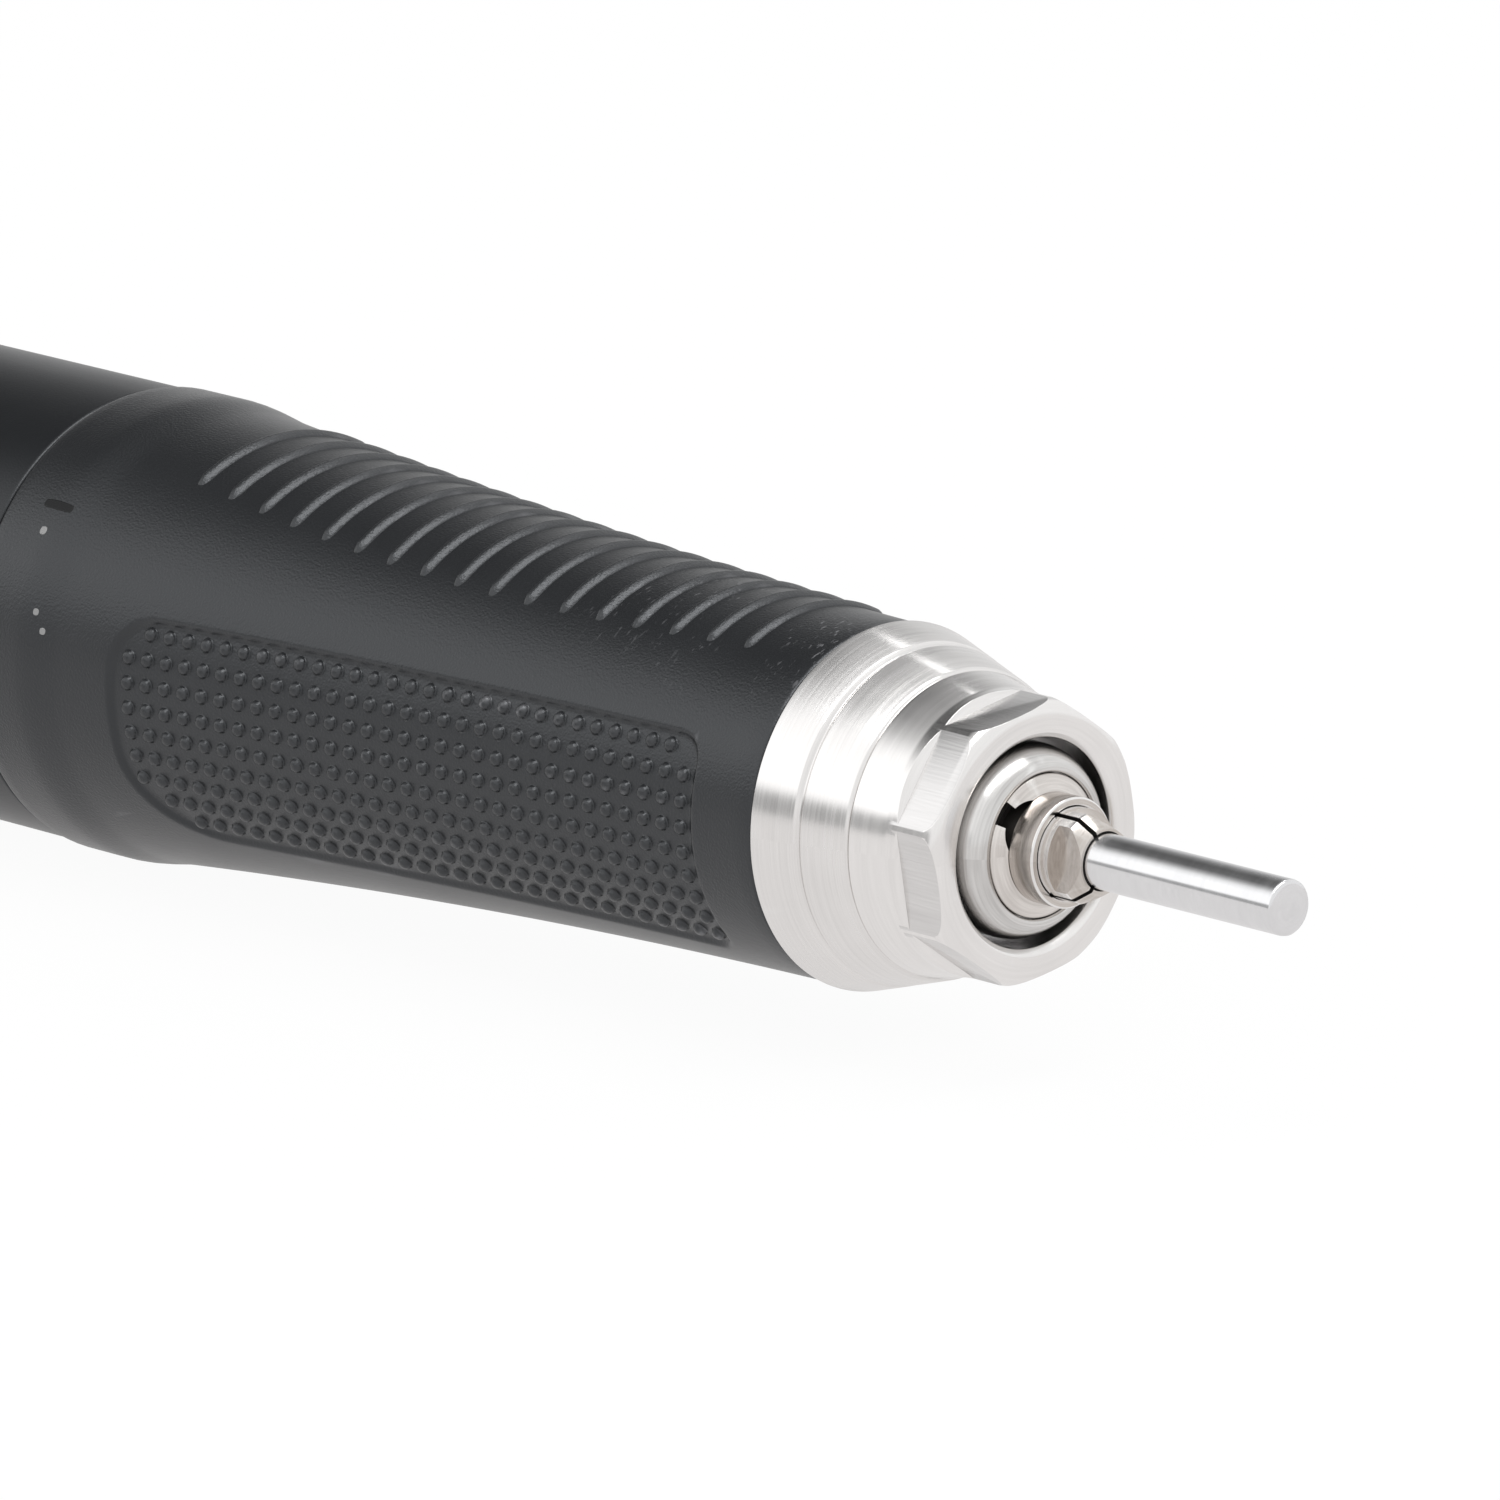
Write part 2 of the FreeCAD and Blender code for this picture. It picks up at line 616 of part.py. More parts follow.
def around(shape, count, first=0.0):
    """Copies of a shape spaced evenly about X."""
    centre, along = FreeCAD.Vector(), FreeCAD.Vector(1, 0, 0)
    copies = []
    for index in range(count):
        copy = shape.copy()
        copy.rotate(centre, along, first + 360.0 * index / count)
        copies.append(copy)
    return Part.makeCompound(copies)


def radial_rod(line, root, tip, radius):
    """A round bar that stands out from the axis along +Z."""
    return Part.makeCylinder(
        value(radius),
        value(tip) - value(root),
        FreeCAD.Vector(value(line), 0, value(root)),
        FreeCAD.Vector(0, 0, 1),
    )


# Rear cap and cord gland

keep(
    turned(
        "rear_cap",
        [
            ("cap_rear", "gland_body_radius + thread_gap"),
            ("cap_rear", "cap_end_radius"),
            ("cap_rear + cap_crown_length", "case_radius", "bulge", "cap_crown"),
            ("case_rear", "case_radius"),
            ("case_rear", "motor_radius"),
            ("cap_spigot_front", "motor_radius"),
            ("cap_spigot_front", "cap_spigot_bore"),
            ("case_rear", "cap_spigot_bore"),
            ("cap_rear + cap_end_wall", "gland_body_radius + thread_gap + cap_spigot_wall"),
            ("cap_rear + cap_end_wall", "gland_body_radius + thread_gap"),
        ],
    )
)

keep(
    turned(
        "cord_gland",
        [
            ("0", "cord_bore_radius"),
            ("0", "gland_flange_radius - edge_break"),
            ("edge_break", "gland_flange_radius"),
            ("gland_flange_length", "gland_flange_radius"),
            ("gland_flange_length", "gland_body_radius"),
            ("gland_length", "gland_body_radius"),
            ("gland_length", "cord_bore_radius"),
        ],
    )
)

# Motor case, with the spigot that the grip turns on

keep(
    turned(
        "motor_case",
        [
            ("case_rear", "case_bore"),
            ("case_rear", "case_radius"),
            ("parting - edge_break", "case_radius"),
            ("parting", "case_radius - edge_break"),
            ("parting", "spigot_radius"),
            ("ring_groove_rear", "spigot_radius"),
            ("ring_groove_rear", "spigot_radius - friction_ring_depth"),
            ("ring_groove_front", "spigot_radius - friction_ring_depth"),
            ("ring_groove_front", "spigot_radius"),
            ("spigot_front", "spigot_radius"),
            ("spigot_front", "housing_thread_bore"),
            ("case_shoulder", "housing_thread_bore"),
            ("case_shoulder", "case_bore"),
        ],
    )
)

keep(
    ring(
        "grip_friction_ring",
        "ring_groove_rear + seat_gap",
        "ring_groove_front - seat_gap",
        "spigot_radius - friction_ring_depth + seat_gap",
        "spigot_radius + running_gap / 2",
    )
)

# Motor, from the cord end: terminals, brush carrier, field magnets and front plate

terminal_plate = turned(
    "terminal_plate",
    [
        ("cap_spigot_front", "0"),
        ("cap_spigot_front", "motor_radius"),
        ("plate_front", "motor_radius"),
        ("plate_front", "0"),
    ],
)
keep(
    axial_slots(
        terminal_plate,
        "terminal_pitch_radius - terminal_half_width - seat_gap",
        "terminal_pitch_radius + terminal_half_width + seat_gap",
        "( terminal_half_width + seat_gap )",
        2,
    )
)

blade = Part.makeBox(
    value("terminal_length"),
    value("2 * terminal_half_width"),
    value("2 * terminal_half_width"),
    FreeCAD.Vector(
        value("plate_front + end_gap - terminal_length"),
        value("terminal_pitch_radius - terminal_half_width"),
        value("0 - terminal_half_width"),
    ),
)
keep(solid("terminals", around(blade, 2)))

brush_carrier = turned(
    "brush_carrier",
    [
        ("plate_front", "motor_radius - carrier_rim_wall"),
        ("plate_front", "motor_radius"),
        ("carrier_front", "motor_radius"),
        ("carrier_front", "carrier_cavity_radius"),
        ("carrier_front - carrier_cavity_length", "carrier_cavity_radius"),
        ("carrier_front - carrier_cavity_length", "shaft_clearance"),
        ("rear_bearing_front + seat_gap", "shaft_clearance"),
        ("rear_bearing_front + seat_gap", "motor_bearing_seat"),
        ("plate_front + carrier_rim_length", "motor_bearing_seat"),
        ("plate_front + carrier_rim_length", "motor_radius - carrier_rim_wall"),
    ],
)
keep(drill(brush_carrier, "brush_line", "brush_hole_radius", "XZ_Plane"))


def brush_pair(label, shape):
    """The same piece on both sides of the commutator, on the line of the brush holes."""
    return keep(solid(label, around(shape, 2, first=90.0)))


brush_tube = radial_rod("brush_line", "carrier_cavity_radius", "tube_tip", "tube_outside")
brush_pair(
    "brush_tubes",
    brush_tube.cut(radial_rod("brush_line", "0", "motor_radius", "tube_bore")),
)

worn_face = Part.makeCylinder(
    value("brush_root"),
    value("carrier_front"),
    FreeCAD.Vector(),
    FreeCAD.Vector(1, 0, 0),
)
carbon = radial_rod("brush_line", "brush_root - brush_radius / 2", "brush_tip", "brush_radius")
brush_pair("carbon_brushes", carbon.cut(worn_face))

brush_pair(
    "brush_caps",
    radial_rod("brush_line", "brush_cap_root", "brush_cap_tip", "tube_outside"),
)


def coil_spring(root, tip, outside, wire, turns):
    """A coil of square wire that stands on Z, centred on the brush line."""
    height = value(tip) - value(root) - value(wire)
    mean = value(outside) - value(wire) / 2
    helix = Part.makeHelix(height / turns, height, mean)
    half = value(wire) / 2
    corners = [(-half, -half), (half, -half), (half, half), (-half, half), (-half, -half)]
    section = Part.makePolygon([FreeCAD.Vector(mean + dx, 0, dz) for dx, dz in corners])
    coil = Part.Wire(helix.Edges).makePipeShell([section], True, True)
    coil.translate(FreeCAD.Vector(value("brush_line"), 0, value(root) + half))
    return coil


brush_pair(
    "brush_springs",
    coil_spring("brush_tip", "brush_cap_root", "brush_radius", "spring_wire", value("spring_turns")),
)

keep(ring("flux_yoke", "carrier_front", "yoke_front", "yoke_bore", "motor_radius"))

magnet = turned(
    "magnet_arc",
    [
        ("core_middle - magnet_length / 2", "magnet_bore"),
        ("core_middle - magnet_length / 2", "yoke_bore - seat_gap"),
        ("core_middle + magnet_length / 2", "yoke_bore - seat_gap"),
        ("core_middle + magnet_length / 2", "magnet_bore"),
    ],
    angle="magnet_angle",
)
doc.recompute()
keep(solid("field_magnets", around(magnet.Shape, 2)))

keep(
    turned(
        "motor_front_plate",
        [
            ("yoke_front", "shaft_clearance"),
            ("yoke_front", "motor_radius"),
            ("motor_front", "motor_radius"),
            ("motor_front", "motor_bearing_seat"),
            ("motor_bearing_rear - seat_gap", "motor_bearing_seat"),
            ("motor_bearing_rear - seat_gap", "shaft_clearance"),
        ],
    )
)

# Rotor

keep(
    turned(
        "rotor_shaft",
        [
            ("rotor_rear", "0"),
            ("rotor_rear", "rotor_shaft_radius"),
            ("rotor_dog_front - seat_gap", "rotor_shaft_radius"),
            ("rotor_dog_front - seat_gap", "0"),
        ],
    )
)

rotor_core = ring("rotor_core", "core_rear", "core_front", "shaft_seat", "core_radius")
keep(
    axial_slots(
        rotor_core,
        "slot_floor",
        "core_radius + end_gap",
        "core_slot_width / 2",
        value("core_slot_count"),
    )
)

commutator = ring(
    "commutator",
    "commutator_rear",
    "commutator_rear + commutator_length",
    "shaft_seat",
    "commutator_radius",
)
keep(
    axial_slots(
        commutator,
        "commutator_radius - commutator_cut_depth",
        "commutator_radius + end_gap",
        "commutator_cut_width / 2",
        value("core_slot_count"),
    )
)


def end_turns(start):
    """The ring of copper that stands out at one end of the core."""
    length = value("winding_overhang - winding_gap")
    place, along = FreeCAD.Vector(start, 0, 0), FreeCAD.Vector(1, 0, 0)
    outside = Part.makeCylinder(value("winding_outside"), length, place, along)
    return outside.cut(
        Part.makeCylinder(value("shaft_clearance"), length, place, along)
    )


coil_side = Part.makeBox(
    value("winding_front - winding_rear"),
    value("winding_outside - slot_floor - winding_gap"),
    value("core_slot_width - 2 * winding_gap"),
    FreeCAD.Vector(
        value("winding_rear"),
        value("slot_floor + winding_gap"),
        value("winding_gap - core_slot_width / 2"),
    ),
)
copper = end_turns(value("winding_rear")).fuse(
    [end_turns(value("core_front + winding_gap"))]
    + around(coil_side, int(value("core_slot_count"))).Solids
)
keep(solid("windings", copper.removeSplitter()))


# Jaw coupling between rotor and spindle


def dog(label, rear, front, bore, jaw_start, first):
    """One half of the coupling: a hub with two jaws."""
    along = FreeCAD.Vector(1, 0, 0)
    place = FreeCAD.Vector(value(rear), 0, 0)
    length = value(front) - value(rear)
    hub = Part.makeCylinder(value("dog_hub_radius"), length, place, along)
    hub = hub.cut(Part.makeCylinder(value(bore), length, place, along))
    jaw = Part.makeBox(
        value("dog_jaw_length") + length / 2,
        value("dog_hub_radius - running_gap - dog_jaw_root"),
        value("dog_jaw_width"),
        FreeCAD.Vector(
            value(jaw_start), value("dog_jaw_root"), value("0 - dog_jaw_width / 2")
        ),
    )
    jaws = around(jaw, 2, first).Solids
    jaws = [j.cut(Part.makeCylinder(value(bore), length, place, along)) for j in jaws]
    return keep(solid(label, hub.fuse(jaws).removeSplitter()))


def spider():
    """The rubber cross between the jaws."""
    thickness = value("spindle_dog_rear - rotor_dog_front - 2 * end_gap")
    reach = value("dog_hub_radius")
    width = value("spider_arm_width")
    rear = value("rotor_dog_front + end_gap")
    arm = Part.makeBox(
        thickness, 2 * reach, width, FreeCAD.Vector(rear, -reach, -width / 2)
    )
    hub = Part.makeCylinder(
        value("spider_hub_radius"), thickness, FreeCAD.Vector(rear, 0, 0), FreeCAD.Vector(1, 0, 0)
    )
    arms = around(arm, 4, 45.0).Solids
    return hub.fuse(arms[:2]).removeSplitter()


dog("rotor_dog", "rotor_dog_rear", "rotor_dog_front", "shaft_seat", "rotor_dog_front - dog_hub_length / 2", 0.0)
dog("spindle_dog", "spindle_dog_rear", "spindle_dog_front", "spindle_seat", "rotor_dog_front + end_gap", 90.0)
keep(solid("coupling_spider", spider()))

# Spindle housing with its retaining pieces

spindle_housing = turned(
    "spindle_housing",
    [
        ("housing_rear", "housing_lip_radius"),
        ("housing_rear", "housing_thread_radius"),
        ("spigot_front", "housing_thread_radius"),
        ("spigot_front", "housing_flange_radius"),
        ("flange_front", "housing_flange_radius"),
        ("flange_front", "housing_radius"),
        ("cone_rear", "housing_radius"),
        ("cone_rear", "nose_thread_radius"),
        ("nose_front", "nose_thread_radius"),
        ("nose_front", "nose_bore_radius"),
        ("seal_front", "nose_bore_radius"),
        ("seal_front", "seal_radius"),
        ("seal_rear", "seal_radius"),
        ("seal_rear", "nose_bore_radius"),
        ("second_bearing_front", "nose_bore_radius"),
        ("second_bearing_front", "housing_bore"),
        ("circlip_front", "housing_bore"),
        ("circlip_front", "circlip_groove_radius"),
        ("circlip_rear", "circlip_groove_radius"),
        ("circlip_rear", "housing_bore"),
        ("third_bearing_rear", "housing_bore"),
        ("third_bearing_rear", "housing_lip_radius"),
    ],
)
keep(
    slot(
        spindle_housing,
        "cam_pin_line",
        "cam_pin_line + push_travel",
        "( cam_pin_radius + running_gap )",
        "XY_Plane",
    )
)

keep(
    ring(
        "nose_seal",
        "seal_rear + seat_gap",
        "seal_front - seat_gap",
        "spacer_radius + running_gap",
        "seal_radius - seat_gap",
    )
)
keep(
    ring(
        "bearing_retainer",
        "first_bearing_rear - retainer_length",
        "first_bearing_rear",
        "bearing_outer_radius - retainer_wall",
        "bearing_outer_radius",
    )
)
keep(
    ring(
        "preload_washer",
        "third_bearing_front",
        "third_bearing_front + washer_thickness",
        "bearing_outer_radius - washer_wall",
        "bearing_outer_radius",
    )
)
keep(
    turned(
        "bearing_circlip",
        [
            ("circlip_rear + seat_gap", "bearing_outer_radius - washer_wall"),
            ("circlip_rear + seat_gap", "circlip_groove_radius - seat_gap"),
            ("circlip_front - seat_gap", "circlip_groove_radius - seat_gap"),
            ("circlip_front - seat_gap", "bearing_outer_radius - washer_wall"),
        ],
        angle="360 - circlip_opening",
    )
)

# Ball bearings


def ball(radius):
    """A ball with flat facets, all of it within the radius."""
    inside = radius / 1.225
    shape = None
    for axis in (FreeCAD.Vector(1, 0, 0), FreeCAD.Vector(0, 1, 0), FreeCAD.Vector(0, 0, 1)):
        corner = inside / math.cos(math.pi / 8)
        points = [
            FreeCAD.Vector(
                corner * math.cos(math.pi * (2 * i + 1) / 8),
                corner * math.sin(math.pi * (2 * i + 1) / 8),
                -inside,
            )
            for i in range(9)
        ]
        prism = Part.Face(Part.makePolygon(points)).extrude(FreeCAD.Vector(0, 0, 2 * inside))
        prism.Placement = FreeCAD.Placement(
            FreeCAD.Vector(), FreeCAD.Rotation(FreeCAD.Vector(0, 0, 1), axis)
        )
        shape = prism if shape is None else shape.common(prism)
    return shape


def bearing(label, rear, width, bore, outside, race):
    """One ball bearing: outer race, inner race and its ring of balls."""
    inner_top, outer_bottom = f"{bore} + {race}", f"{outside} - {race}"
    front = f"{rear} + {width}"
    keep(ring(label + "_outer_race", rear, front, outer_bottom, outside))
    keep(ring(label + "_inner_race", rear, front, bore, inner_top))
    radius = (value(outer_bottom) - value(inner_top) - value("seat_gap")) / 2
    one = ball(radius)
    middle = (value(rear) + value(front)) / 2
    one.translate(FreeCAD.Vector(middle, 0, (value(outer_bottom) + value(inner_top)) / 2))
    keep(solid(label + "_balls", around(one, int(value("ball_count")))))


for name, start in (
    ("front_bearing", "second_bearing_rear"),
    ("second_bearing", "first_bearing_rear"),
    ("rear_bearing", "third_bearing_rear"),
):
    bearing(name, start, "bearing_width", "spindle_seat", "bearing_outer_radius", "race_thickness")

for name, start in (
    ("motor_front_bearing", "motor_bearing_rear"),
    ("motor_rear_bearing", "rear_bearing_rear"),
):
    bearing(name, start, "motor_bearing_width", "shaft_seat", "motor_bearing_radius", "motor_race_thickness")

# Spindle: hollow shaft, spacers, nose and its snap ring

spindle_shaft = turned(
    "spindle_shaft",
    [
        ("spindle_rear", "0"),
        ("spindle_rear", "bearing_bore_radius"),
        ("spindle_flange_rear", "bearing_bore_radius"),
        ("spindle_flange_rear", "spindle_flange_radius"),
        ("spindle_flange_front", "spindle_flange_radius"),
        ("spindle_flange_front", "bearing_bore_radius"),
        ("dome_rear", "bearing_bore_radius"),
        ("dome_rear", "tube_radius"),
        ("ring_seat - seat_gap", "tube_radius"),
        ("ring_seat - seat_gap", "ring_seat_radius"),
        ("ring_front + seat_gap", "ring_seat_radius"),
        ("ring_front + seat_gap", "tube_radius"),
        ("tube_front - tube_chamfer", "tube_radius"),
        ("tube_front", "head_bore"),
        ("collet_head_rear", "head_bore"),
        ("collet_body_front", "spindle_bore"),
        ("bore_end", "spindle_bore"),
        ("bore_end", "0"),
    ],
)
keep(
    slot(
        spindle_shaft,
        "draw_pin_line",
        "draw_pin_line + draw_travel",
        "( draw_pin_radius + running_gap )",
        "XZ_Plane",
    )
)
keep(ring("inner_spacer", "spindle_flange_front", "first_bearing_rear", "spindle_seat", "spacer_radius"))
keep(ring("front_spacer", "second_bearing_front", "dome_rear", "spindle_seat", "spacer_radius"))

keep(
    turned(
        "spindle_nose",
        [
            ("dome_rear", "tube_seat"),
            ("dome_rear", "dome_radius - edge_break"),
            ("dome_rear + edge_break", "dome_radius"),
            ("dome_shoulder", "dome_radius"),
            ("dome_front", "dome_crown_radius", "bulge", "dome_round"),
            ("dome_front", "dome_lip_radius + edge_break"),
            ("dome_front - edge_break", "dome_lip_radius"),
            ("ring_seat", "dome_lip_radius"),
            ("ring_seat", "tube_seat"),
        ],
    )
)
snap_ring = turned(
    "snap_ring",
    [
        ("ring_seat", "ring_seat_radius + seat_gap"),
        ("ring_seat", "snap_ring_radius"),
        ("ring_seat + snap_ring_thickness", "snap_ring_radius"),
        ("ring_front", "tube_radius"),
        ("ring_front", "ring_seat_radius + seat_gap"),
    ],
    angle="360 - snap_ring_opening",
    turn="snap_ring_turn + 90",
)
# A round relief thins both ends of the ring, so that pliers reach behind them
relief = round_hole(
    snap_ring, "snap_ring_relief", "relief_across", "relief_up", "relief_radius", "YZ_Plane"
)
keep(cut(snap_ring, relief))

# Chuck: collet, drawbar, collar with its cross pin, and the closing spring

collet = turned(
    "collet",
    [
        ("collet_spigot_rear", "0"),
        ("collet_spigot_rear", "collet_spigot_radius"),
        ("collet_rear", "collet_spigot_radius"),
        ("collet_rear", "collet_body_radius"),
        ("collet_body_front", "collet_body_radius"),
        ("collet_head_rear", "collet_head_radius"),
        ("collet_shoulder", "collet_head_radius"),
        ("mouth", "collet_mouth_radius"),
        ("mouth", "collet_bore"),
        ("collet_bore_end", "collet_bore"),
        ("collet_bore_end", "0"),
    ],
)
flat = outline(
    collet,
    "collet_flat",
    [
        ("mouth - collet_flat_rear", "collet_flat_radius"),
        ("mouth + end_gap", "collet_flat_radius"),
        ("mouth + end_gap", "collet_head_radius + end_gap"),
        ("mouth - collet_flat_rear", "collet_head_radius + end_gap"),
    ],
    turn="collet_flat_turn",
)
cut(collet, flat, 3)
slit = outline(
    collet,
    "collet_slit",
    [
        ("mouth - collet_slit_length", "0"),
        ("mouth + end_gap", "0"),
        ("mouth + end_gap", "collet_head_radius + end_gap"),
        ("mouth - collet_slit_length", "collet_head_radius + end_gap"),
    ],
    turn="collet_slit_turn",
)
keep(cut(collet, slit, 3, width="collet_slit_width"))

drawbar = turned(
    "drawbar",
    [
        ("drawbar_rear", "0"),
        ("drawbar_rear", "collet_body_radius"),
        ("collet_rear", "collet_body_radius"),
        ("collet_rear", "collet_spigot_radius + thread_gap"),
        ("collet_spigot_rear - end_gap", "collet_spigot_radius + thread_gap"),
        ("collet_spigot_rear - end_gap", "0"),
    ],
)
keep(drill(drawbar, "draw_pin_line", "pin_hole", "XZ_Plane"))

draw_collar = ring("draw_collar", "collar_rear", "collar_front", "spindle_seat", "collar_radius")
keep(drill(draw_collar, "draw_pin_line", "pin_hole", "XZ_Plane"))

draw_pin = doc.addObject("Part::Cylinder", "draw_pin")
draw_pin.Label = "draw_pin"
draw_pin.Placement = FreeCAD.Placement(
    FreeCAD.Vector(), FreeCAD.Rotation(FreeCAD.Vector(1, 0, 0), 90)
)
draw_pin.setExpression("Radius", full("draw_pin_radius"))
draw_pin.setExpression("Height", full("2 * ( collar_radius - end_gap )"))
draw_pin.setExpression("Placement.Base.x", full("draw_pin_line"))
draw_pin.setExpression("Placement.Base.y", full("collar_radius - end_gap"))
keep(draw_pin)


def spring_discs():
    """Coned spring discs that face each other by turns, between the flange and the collar."""
    count = int(value("spring_disc_count"))
    pitch = value("spring_stack_length") / count
    inner, outer = value("spindle_seat + running_gap"), value("spring_disc_radius")
    thickness, gap = value("spring_disc_thickness"), value("seat_gap")
    discs = []
    for index in range(count):
        rear = value("collar_front") + index * pitch + gap / 2
        front = rear + pitch - gap
        low, high = (outer, inner) if index % 2 == 0 else (inner, outer)
        corners = [(rear, low), (rear + thickness, low), (front, high), (front - thickness, high)]
        points = [FreeCAD.Vector(x, 0, r) for x, r in corners + corners[:1]]
        face = Part.Face(Part.makePolygon(points))
        discs.append(face.revolve(FreeCAD.Vector(), FreeCAD.Vector(1, 0, 0), 360))
    return Part.makeCompound(discs)


keep(solid("disc_springs", spring_discs()))

keep(
    turned(
        "tool_shank",
        [
            ("tool_rear", "0"),
            ("tool_rear", "tool_radius - tool_bevel"),
            ("tool_rear + tool_bevel", "tool_radius"),
            ("tool_tip - tool_bevel", "tool_radius"),
            ("tool_tip", "tool_radius - tool_bevel"),
            ("tool_tip", "0"),
        ],
    )
)

# Chuck opener: a ring pushed along by two pins that ride in slanted slots of the twisting sleeve

push_ring = ring("push_ring", "push_rear", "push_front", "push_bore_radius", "push_radius")
keep(drill(push_ring, "cam_pin_line", "( cam_pin_radius + seat_gap )", "XY_Plane"))
keep(
    solid(
        "cam_pins",
        around(radial_rod("cam_pin_line", "cam_pin_root", "cam_pin_tip", "cam_pin_radius"), 2),
    )
)


def slanted_slot():
    """The path that a cam pin takes through the sleeve as the grip twists, seen from above."""
    middle = value("( cam_sleeve_bore + cam_sleeve_radius ) / 2")
    swing = math.radians(value("twist_angle"))
    side = middle * math.sin(swing)
    slope = value("push_travel") / side
    last = value("cam_sleeve_radius") * math.sin(swing)
    start = FreeCAD.Vector(value("cam_pin_line"), 0, 0)
    end = start + FreeCAD.Vector(slope * last, last, 0)
    radius = value("cam_slot_radius")
    across = FreeCAD.Vector(0, 0, 1).cross(end - start).normalize() * radius
    along = (end - start).normalize() * radius
    edges = [
        Part.LineSegment(start - across, end - across).toShape(),
        Part.Arc(end - across, end + along, end + across).toShape(),
        Part.LineSegment(end + across, start + across).toShape(),
        Part.Arc(start + across, start - along, start - across).toShape(),
    ]
    face = Part.Face(Part.Wire(edges))
    return face.extrude(FreeCAD.Vector(0, 0, value("cam_sleeve_radius + end_gap")))


cam_blank = ring("cam_blank", "cam_sleeve_rear", "cam_sleeve_front", "cam_sleeve_bore", "cam_sleeve_radius")
cam_sleeve = doc.addObject("Part::Cut", "cam_sleeve")
cam_sleeve.Label = "cam_sleeve"
cam_sleeve.Base = cam_blank
cam_sleeve.Tool = solid("cam_slots", around(slanted_slot(), 2))
keep(cam_sleeve)

# Grip sleeve, with its ribs on top and a sunken panel on each side

grip_blank = turned(
    "grip_blank",
    [
        ("grip_rear", "spigot_bore_of_grip"),
        ("grip_rear", "band_radius - edge_break"),
        ("grip_rear + edge_break", "band_radius"),
        ("band_front", "band_radius"),
        ("swell", "grip_swell_radius"),
        ("waist_front", "grip_front_radius", "hollow", "grip_waist_radius"),
        ("grip_front", "grip_front_radius - edge_break"),
        ("grip_front", "grip_front_bore"),
        ("cam_sleeve_front + seat_gap", "grip_front_bore"),
        ("cam_sleeve_front + seat_gap", "cam_pocket_radius"),
        ("grip_rear_bore_front", "cam_pocket_radius"),
        ("grip_rear_bore_front", "spigot_bore_of_grip"),
    ],
)


def waist_centre():
    """Centre of the arc that draws the waist of the grip, far out from the axis."""
    start = FreeCAD.Vector(value("swell"), value("grip_swell_radius"), 0)
    end = FreeCAD.Vector(value("waist_front"), value("grip_front_radius"), 0)
    chord = end - start
    height = math.sqrt(value("grip_waist_radius") ** 2 - (chord.Length / 2) ** 2)
    return (start + end) / 2 + FreeCAD.Vector(-chord.y, chord.x, 0).normalize() * height


WAIST = waist_centre()


def grip_radius(x):
    """Outside radius of the grip at a place along its waist."""
    return WAIST.y - math.sqrt(value("grip_waist_radius") ** 2 - (x - WAIST.x) ** 2)


def swept(face, middle, half):
    """Sweep a face of the XZ plane about X, to both sides of an angle counted from +Y."""
    axis = (FreeCAD.Vector(), FreeCAD.Vector(1, 0, 0))
    face.rotate(*axis, middle - 90 - half)
    return face.revolve(*axis, 2 * half)


def rib(index):
    """One rib: a low ridge across the top of the grip."""
    x = value("grip_front - rib_first") - index * value("rib_pitch")
    top = grip_radius(x) + value("rib_height")
    foot = grip_radius(x) - value("rib_height")
    base, crest = value("rib_base") / 2, value("rib_crest") / 2
    corners = [(x - base, foot), (x - crest, top), (x + crest, top), (x + base, foot), (x - base, foot)]
    face = Part.Face(Part.makePolygon([FreeCAD.Vector(px, 0, pz) for px, pz in corners]))
    share = math.sin(math.pi * index / (value("rib_count") - 1))
    half = value("rib_half_angle_end") + value("rib_half_angle_rise") * share
    return swept(face, 90, half)


def panel():
    """What is taken from the grip's near side to sink its panel, with rounded corners."""
    rear, front = value("panel_rear_line"), value("panel_front_line")
    depth, over = value("panel_depth"), value("band_radius") + 1
    floor = [
        FreeCAD.Vector(x, 0, grip_radius(x) - depth) for x in (rear, (rear + front) / 2, front)
    ]
    edges = [
        Part.Arc(*floor).toShape(),
        Part.LineSegment(floor[2], FreeCAD.Vector(front, 0, over)).toShape(),
        Part.LineSegment(FreeCAD.Vector(front, 0, over), FreeCAD.Vector(rear, 0, over)).toShape(),
        Part.LineSegment(FreeCAD.Vector(rear, 0, over), floor[0]).toShape(),
    ]
    middle = 180 + value("panel_centre_angle")
    block = swept(Part.Face(Part.Wire(edges)), middle, value("panel_half_angle"))
    corners = [e for e in block.Edges if is_radial(e)]
    front_ones = [e for e in corners if e.CenterOfMass.x > (rear + front) / 2]
    rear_ones = sorted((e for e in corners if e not in front_ones), key=lambda e: e.CenterOfMass.z)
    block = block.makeFillet(value("panel_rear_lower_corner"), rear_ones[:1])
    for x, name in ((front, "panel_front_corner"), (rear, "panel_rear_upper_corner")):
        sharp = [
            e
            for e in block.Edges
            if is_radial(e)
            and abs(e.CenterOfMass.x - x) < 0.01
            and e.Length > value("panel_depth")
            and at_corner(e, middle)
        ]
        block = block.makeFillet(value(name), sharp)
    return block


def is_radial(edge):
    """Whether an edge is straight and points away from the axis."""
    if edge.Curve.TypeId != "Part::GeomLine":
        return False
    ends = [v.Point for v in edge.Vertexes]
    return abs(ends[0].x - ends[1].x) < 0.001


def at_corner(edge, middle):
    """Whether a radial edge lies at either side of the panel."""
    turn = math.degrees(math.atan2(edge.CenterOfMass.z, edge.CenterOfMass.y)) - middle
    turn = (turn + 180) % 360 - 180
    return abs(abs(turn) - value("panel_half_angle")) < 0.01


